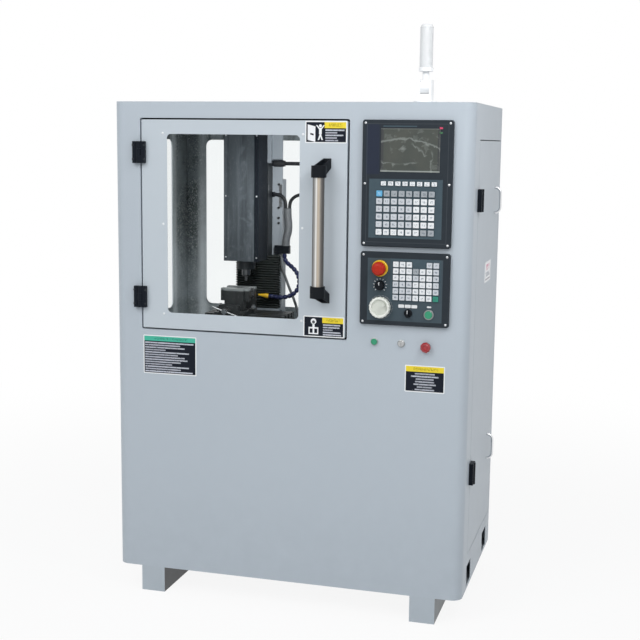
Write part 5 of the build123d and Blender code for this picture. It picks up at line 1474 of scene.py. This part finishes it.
def drive_details():
    """Terminal rows and cooling slots on the electrical units behind the side door."""
    face = high("drive_units").x
    drives = [DRIVE_V + i * DRIVE_PITCH for i in range(DRIVES)]
    bm = bmesh.new()
    for v in drives:
        for k in range(DRIVE_SLOTS):
            bar((0.8, 56, 2.4), at(face + 0.3, v + DRIVE_MIDDLE, TOP - SLOT_DOWN + k * SLOT_PITCH), bm, 0.2)
    new_piece("drive_slots", mesh_of(bm, "drive_slots"), "black_plastic", "cabinet")
    tile = mesh_of(slab(7, 11, 4, 0.8, 0.5), "terminal")
    places = [at(face, v + TERMINAL_V + k * TERMINAL_PITCH, TOP - TERMINAL_DOWN)
              for v in drives for k in range(TERMINALS)]
    repeated("drive_terminals", tile, places, "green_plastic", "cabinet", TO_RIGHT)


# Back

HOOD_HALF = 92.0
HOOD_PROFILE = ((0, 8.0), (4.5, 6.4), (6.0, 2.0), (5.4, 2.0), (4.0, 5.6), (0, 7.0))
HOODS = 9
HOOD_PITCH = 18.0
HOOD_U = 905.0
HOOD_DOWN = 340.0
REAR_EDGES = (3.0, 1064.0)
REAR_ROW_U = (3.0, 268.0, 533.0, 798.0, 1064.0)
REAR_ROW_Z = (100.0, 1504.0)
REAR_EDGE_Z = (451.0, 802.0, 1153.0)


def louvre_hoods():
    """Pressed hoods over the vents in the back panel."""
    ends = [[Vector((x / 1000, out / 1000, up / 1000)) for out, up in HOOD_PROFILE]
            for x in (-HOOD_HALF, HOOD_HALF)]
    hood = mesh_of(loft(bmesh.new(), ends), "hood")
    places = [at(HOOD_U, CAB_D, TOP - HOOD_DOWN - i * HOOD_PITCH) for i in range(HOODS)]
    repeated("louvre_hoods", hood, places, "cabinet_paint", "cabinet")


def panel_screws():
    places = [at(u, CAB_D, z) for z in REAR_ROW_Z for u in REAR_ROW_U]
    places += [at(u, CAB_D, z) for z in REAR_EDGE_Z for u in REAR_EDGES]
    repeated("rear_screws", screw_head(4.0, 2.0, "panel_screw"), places, "screw_steel", "cabinet",
             TO_BACK, spin=ANY_TURN)


# Stage

FLOOR_R = 40.0
FLOOR_SIDES = 64
FLOOR_SHADOW = 0.1
FADE_START = 2.2
FADE_WIDTH = 2.6
WHITE = (1.0, 1.0, 1.0)
SKY = (0.93, 0.97, 1.0)
SKY_STRENGTH = 0.43


def make_floor():
    """Pale floor that keeps the object's shadow and fades to white away from it."""
    mesh = bpy.data.meshes.new("floor")
    bm = bmesh.new()
    bmesh.ops.create_circle(bm, cap_ends=True, segments=FLOOR_SIDES, radius=FLOOR_R)
    bm.to_mesh(mesh)
    bm.free()
    placed("floor", mesh)
    pale = Finish("floor_pale", (0.82, 0.82, 0.82), 0.8)
    reach = pale.node("ShaderNodeVectorMath", {"operation": "LENGTH"}, {0: pale.spot()}, out="Value")
    far = reach.above(FADE_START, FADE_WIDTH)
    glow = pale.node("ShaderNodeEmission", {}, {"Color": WHITE, "Strength": 1.0})
    share = pale.seen_directly() * (far * FLOOR_SHADOW + (1.0 - FLOOR_SHADOW))
    pale.share_with(share, pale.whole(), glow)
    mesh.materials.append(pale.material)


def make_surround():
    """Soft pale light from all round, seen as white."""
    world = bpy.data.worlds.new("surround")
    bpy.context.scene.world = world
    world.use_nodes = True
    tree = ShaderTree(world.node_tree)
    plain = world.node_tree.nodes["Background"]
    tree.feed(plain.inputs["Color"], SKY)
    tree.feed(plain.inputs["Strength"], SKY_STRENGTH)
    white = tree.node("ShaderNodeBackground", {}, {"Color": WHITE})
    joined = tree.node("ShaderNodeMixShader", {}, {0: tree.seen_directly(), 1: Field(tree, plain.outputs[0]),
                                                   2: white})
    tree.feed(world.node_tree.nodes["World Output"].inputs["Surface"], joined)


# Name, place, aim, size in metres and power in watts.
LAMPS = (
    ("key_light", (-1.7, -3.4, 4.2), (0.0, 0.0, 1.2), 2.4, 89.5),
    ("fill_light", (1.9, -3.8, 3.3), (0.1, 0.0, 1.1), 2.4, 39.0),
    ("side_light", (3.2, -0.4, 3.2), (0.55, 0.0, 1.4), 1.6, 1.0),
    ("edge_light", (1.3, -1.0, 2.3), (0.56, -0.15, 1.5), 0.4, 9.0),
    ("chamber_light", at(560, 45, 1300), at(400, 400, 1190), 0.06, 1.7),
)


def make_lamps():
    for name, place, aim, size, power in LAMPS:
        data = bpy.data.lights.new(name, "AREA")
        data.shape = "SQUARE"
        data.size = size
        data.energy = power
        lamp = placed(name, data)
        lamp.location = place
        lamp.rotation_euler = (Vector(aim) - Vector(place)).to_track_quat("-Z", "Y").to_euler()
        lamp.visible_camera = False


make_camera()
make_finishes()
dress_nodes()
make_cords()
stickers()
bezel_screws()
window_screws()
hinge_screws()
key_caps()
screen_marks()
dial_marks()
red_button()
bellows()
tapered_column()
column_fittings()
table_clamps()
cover_screws()
drive_details()
louvre_hoods()
panel_screws()
make_floor()
make_surround()
make_lamps()

bpy.context.scene.view_settings.view_transform = "Standard"
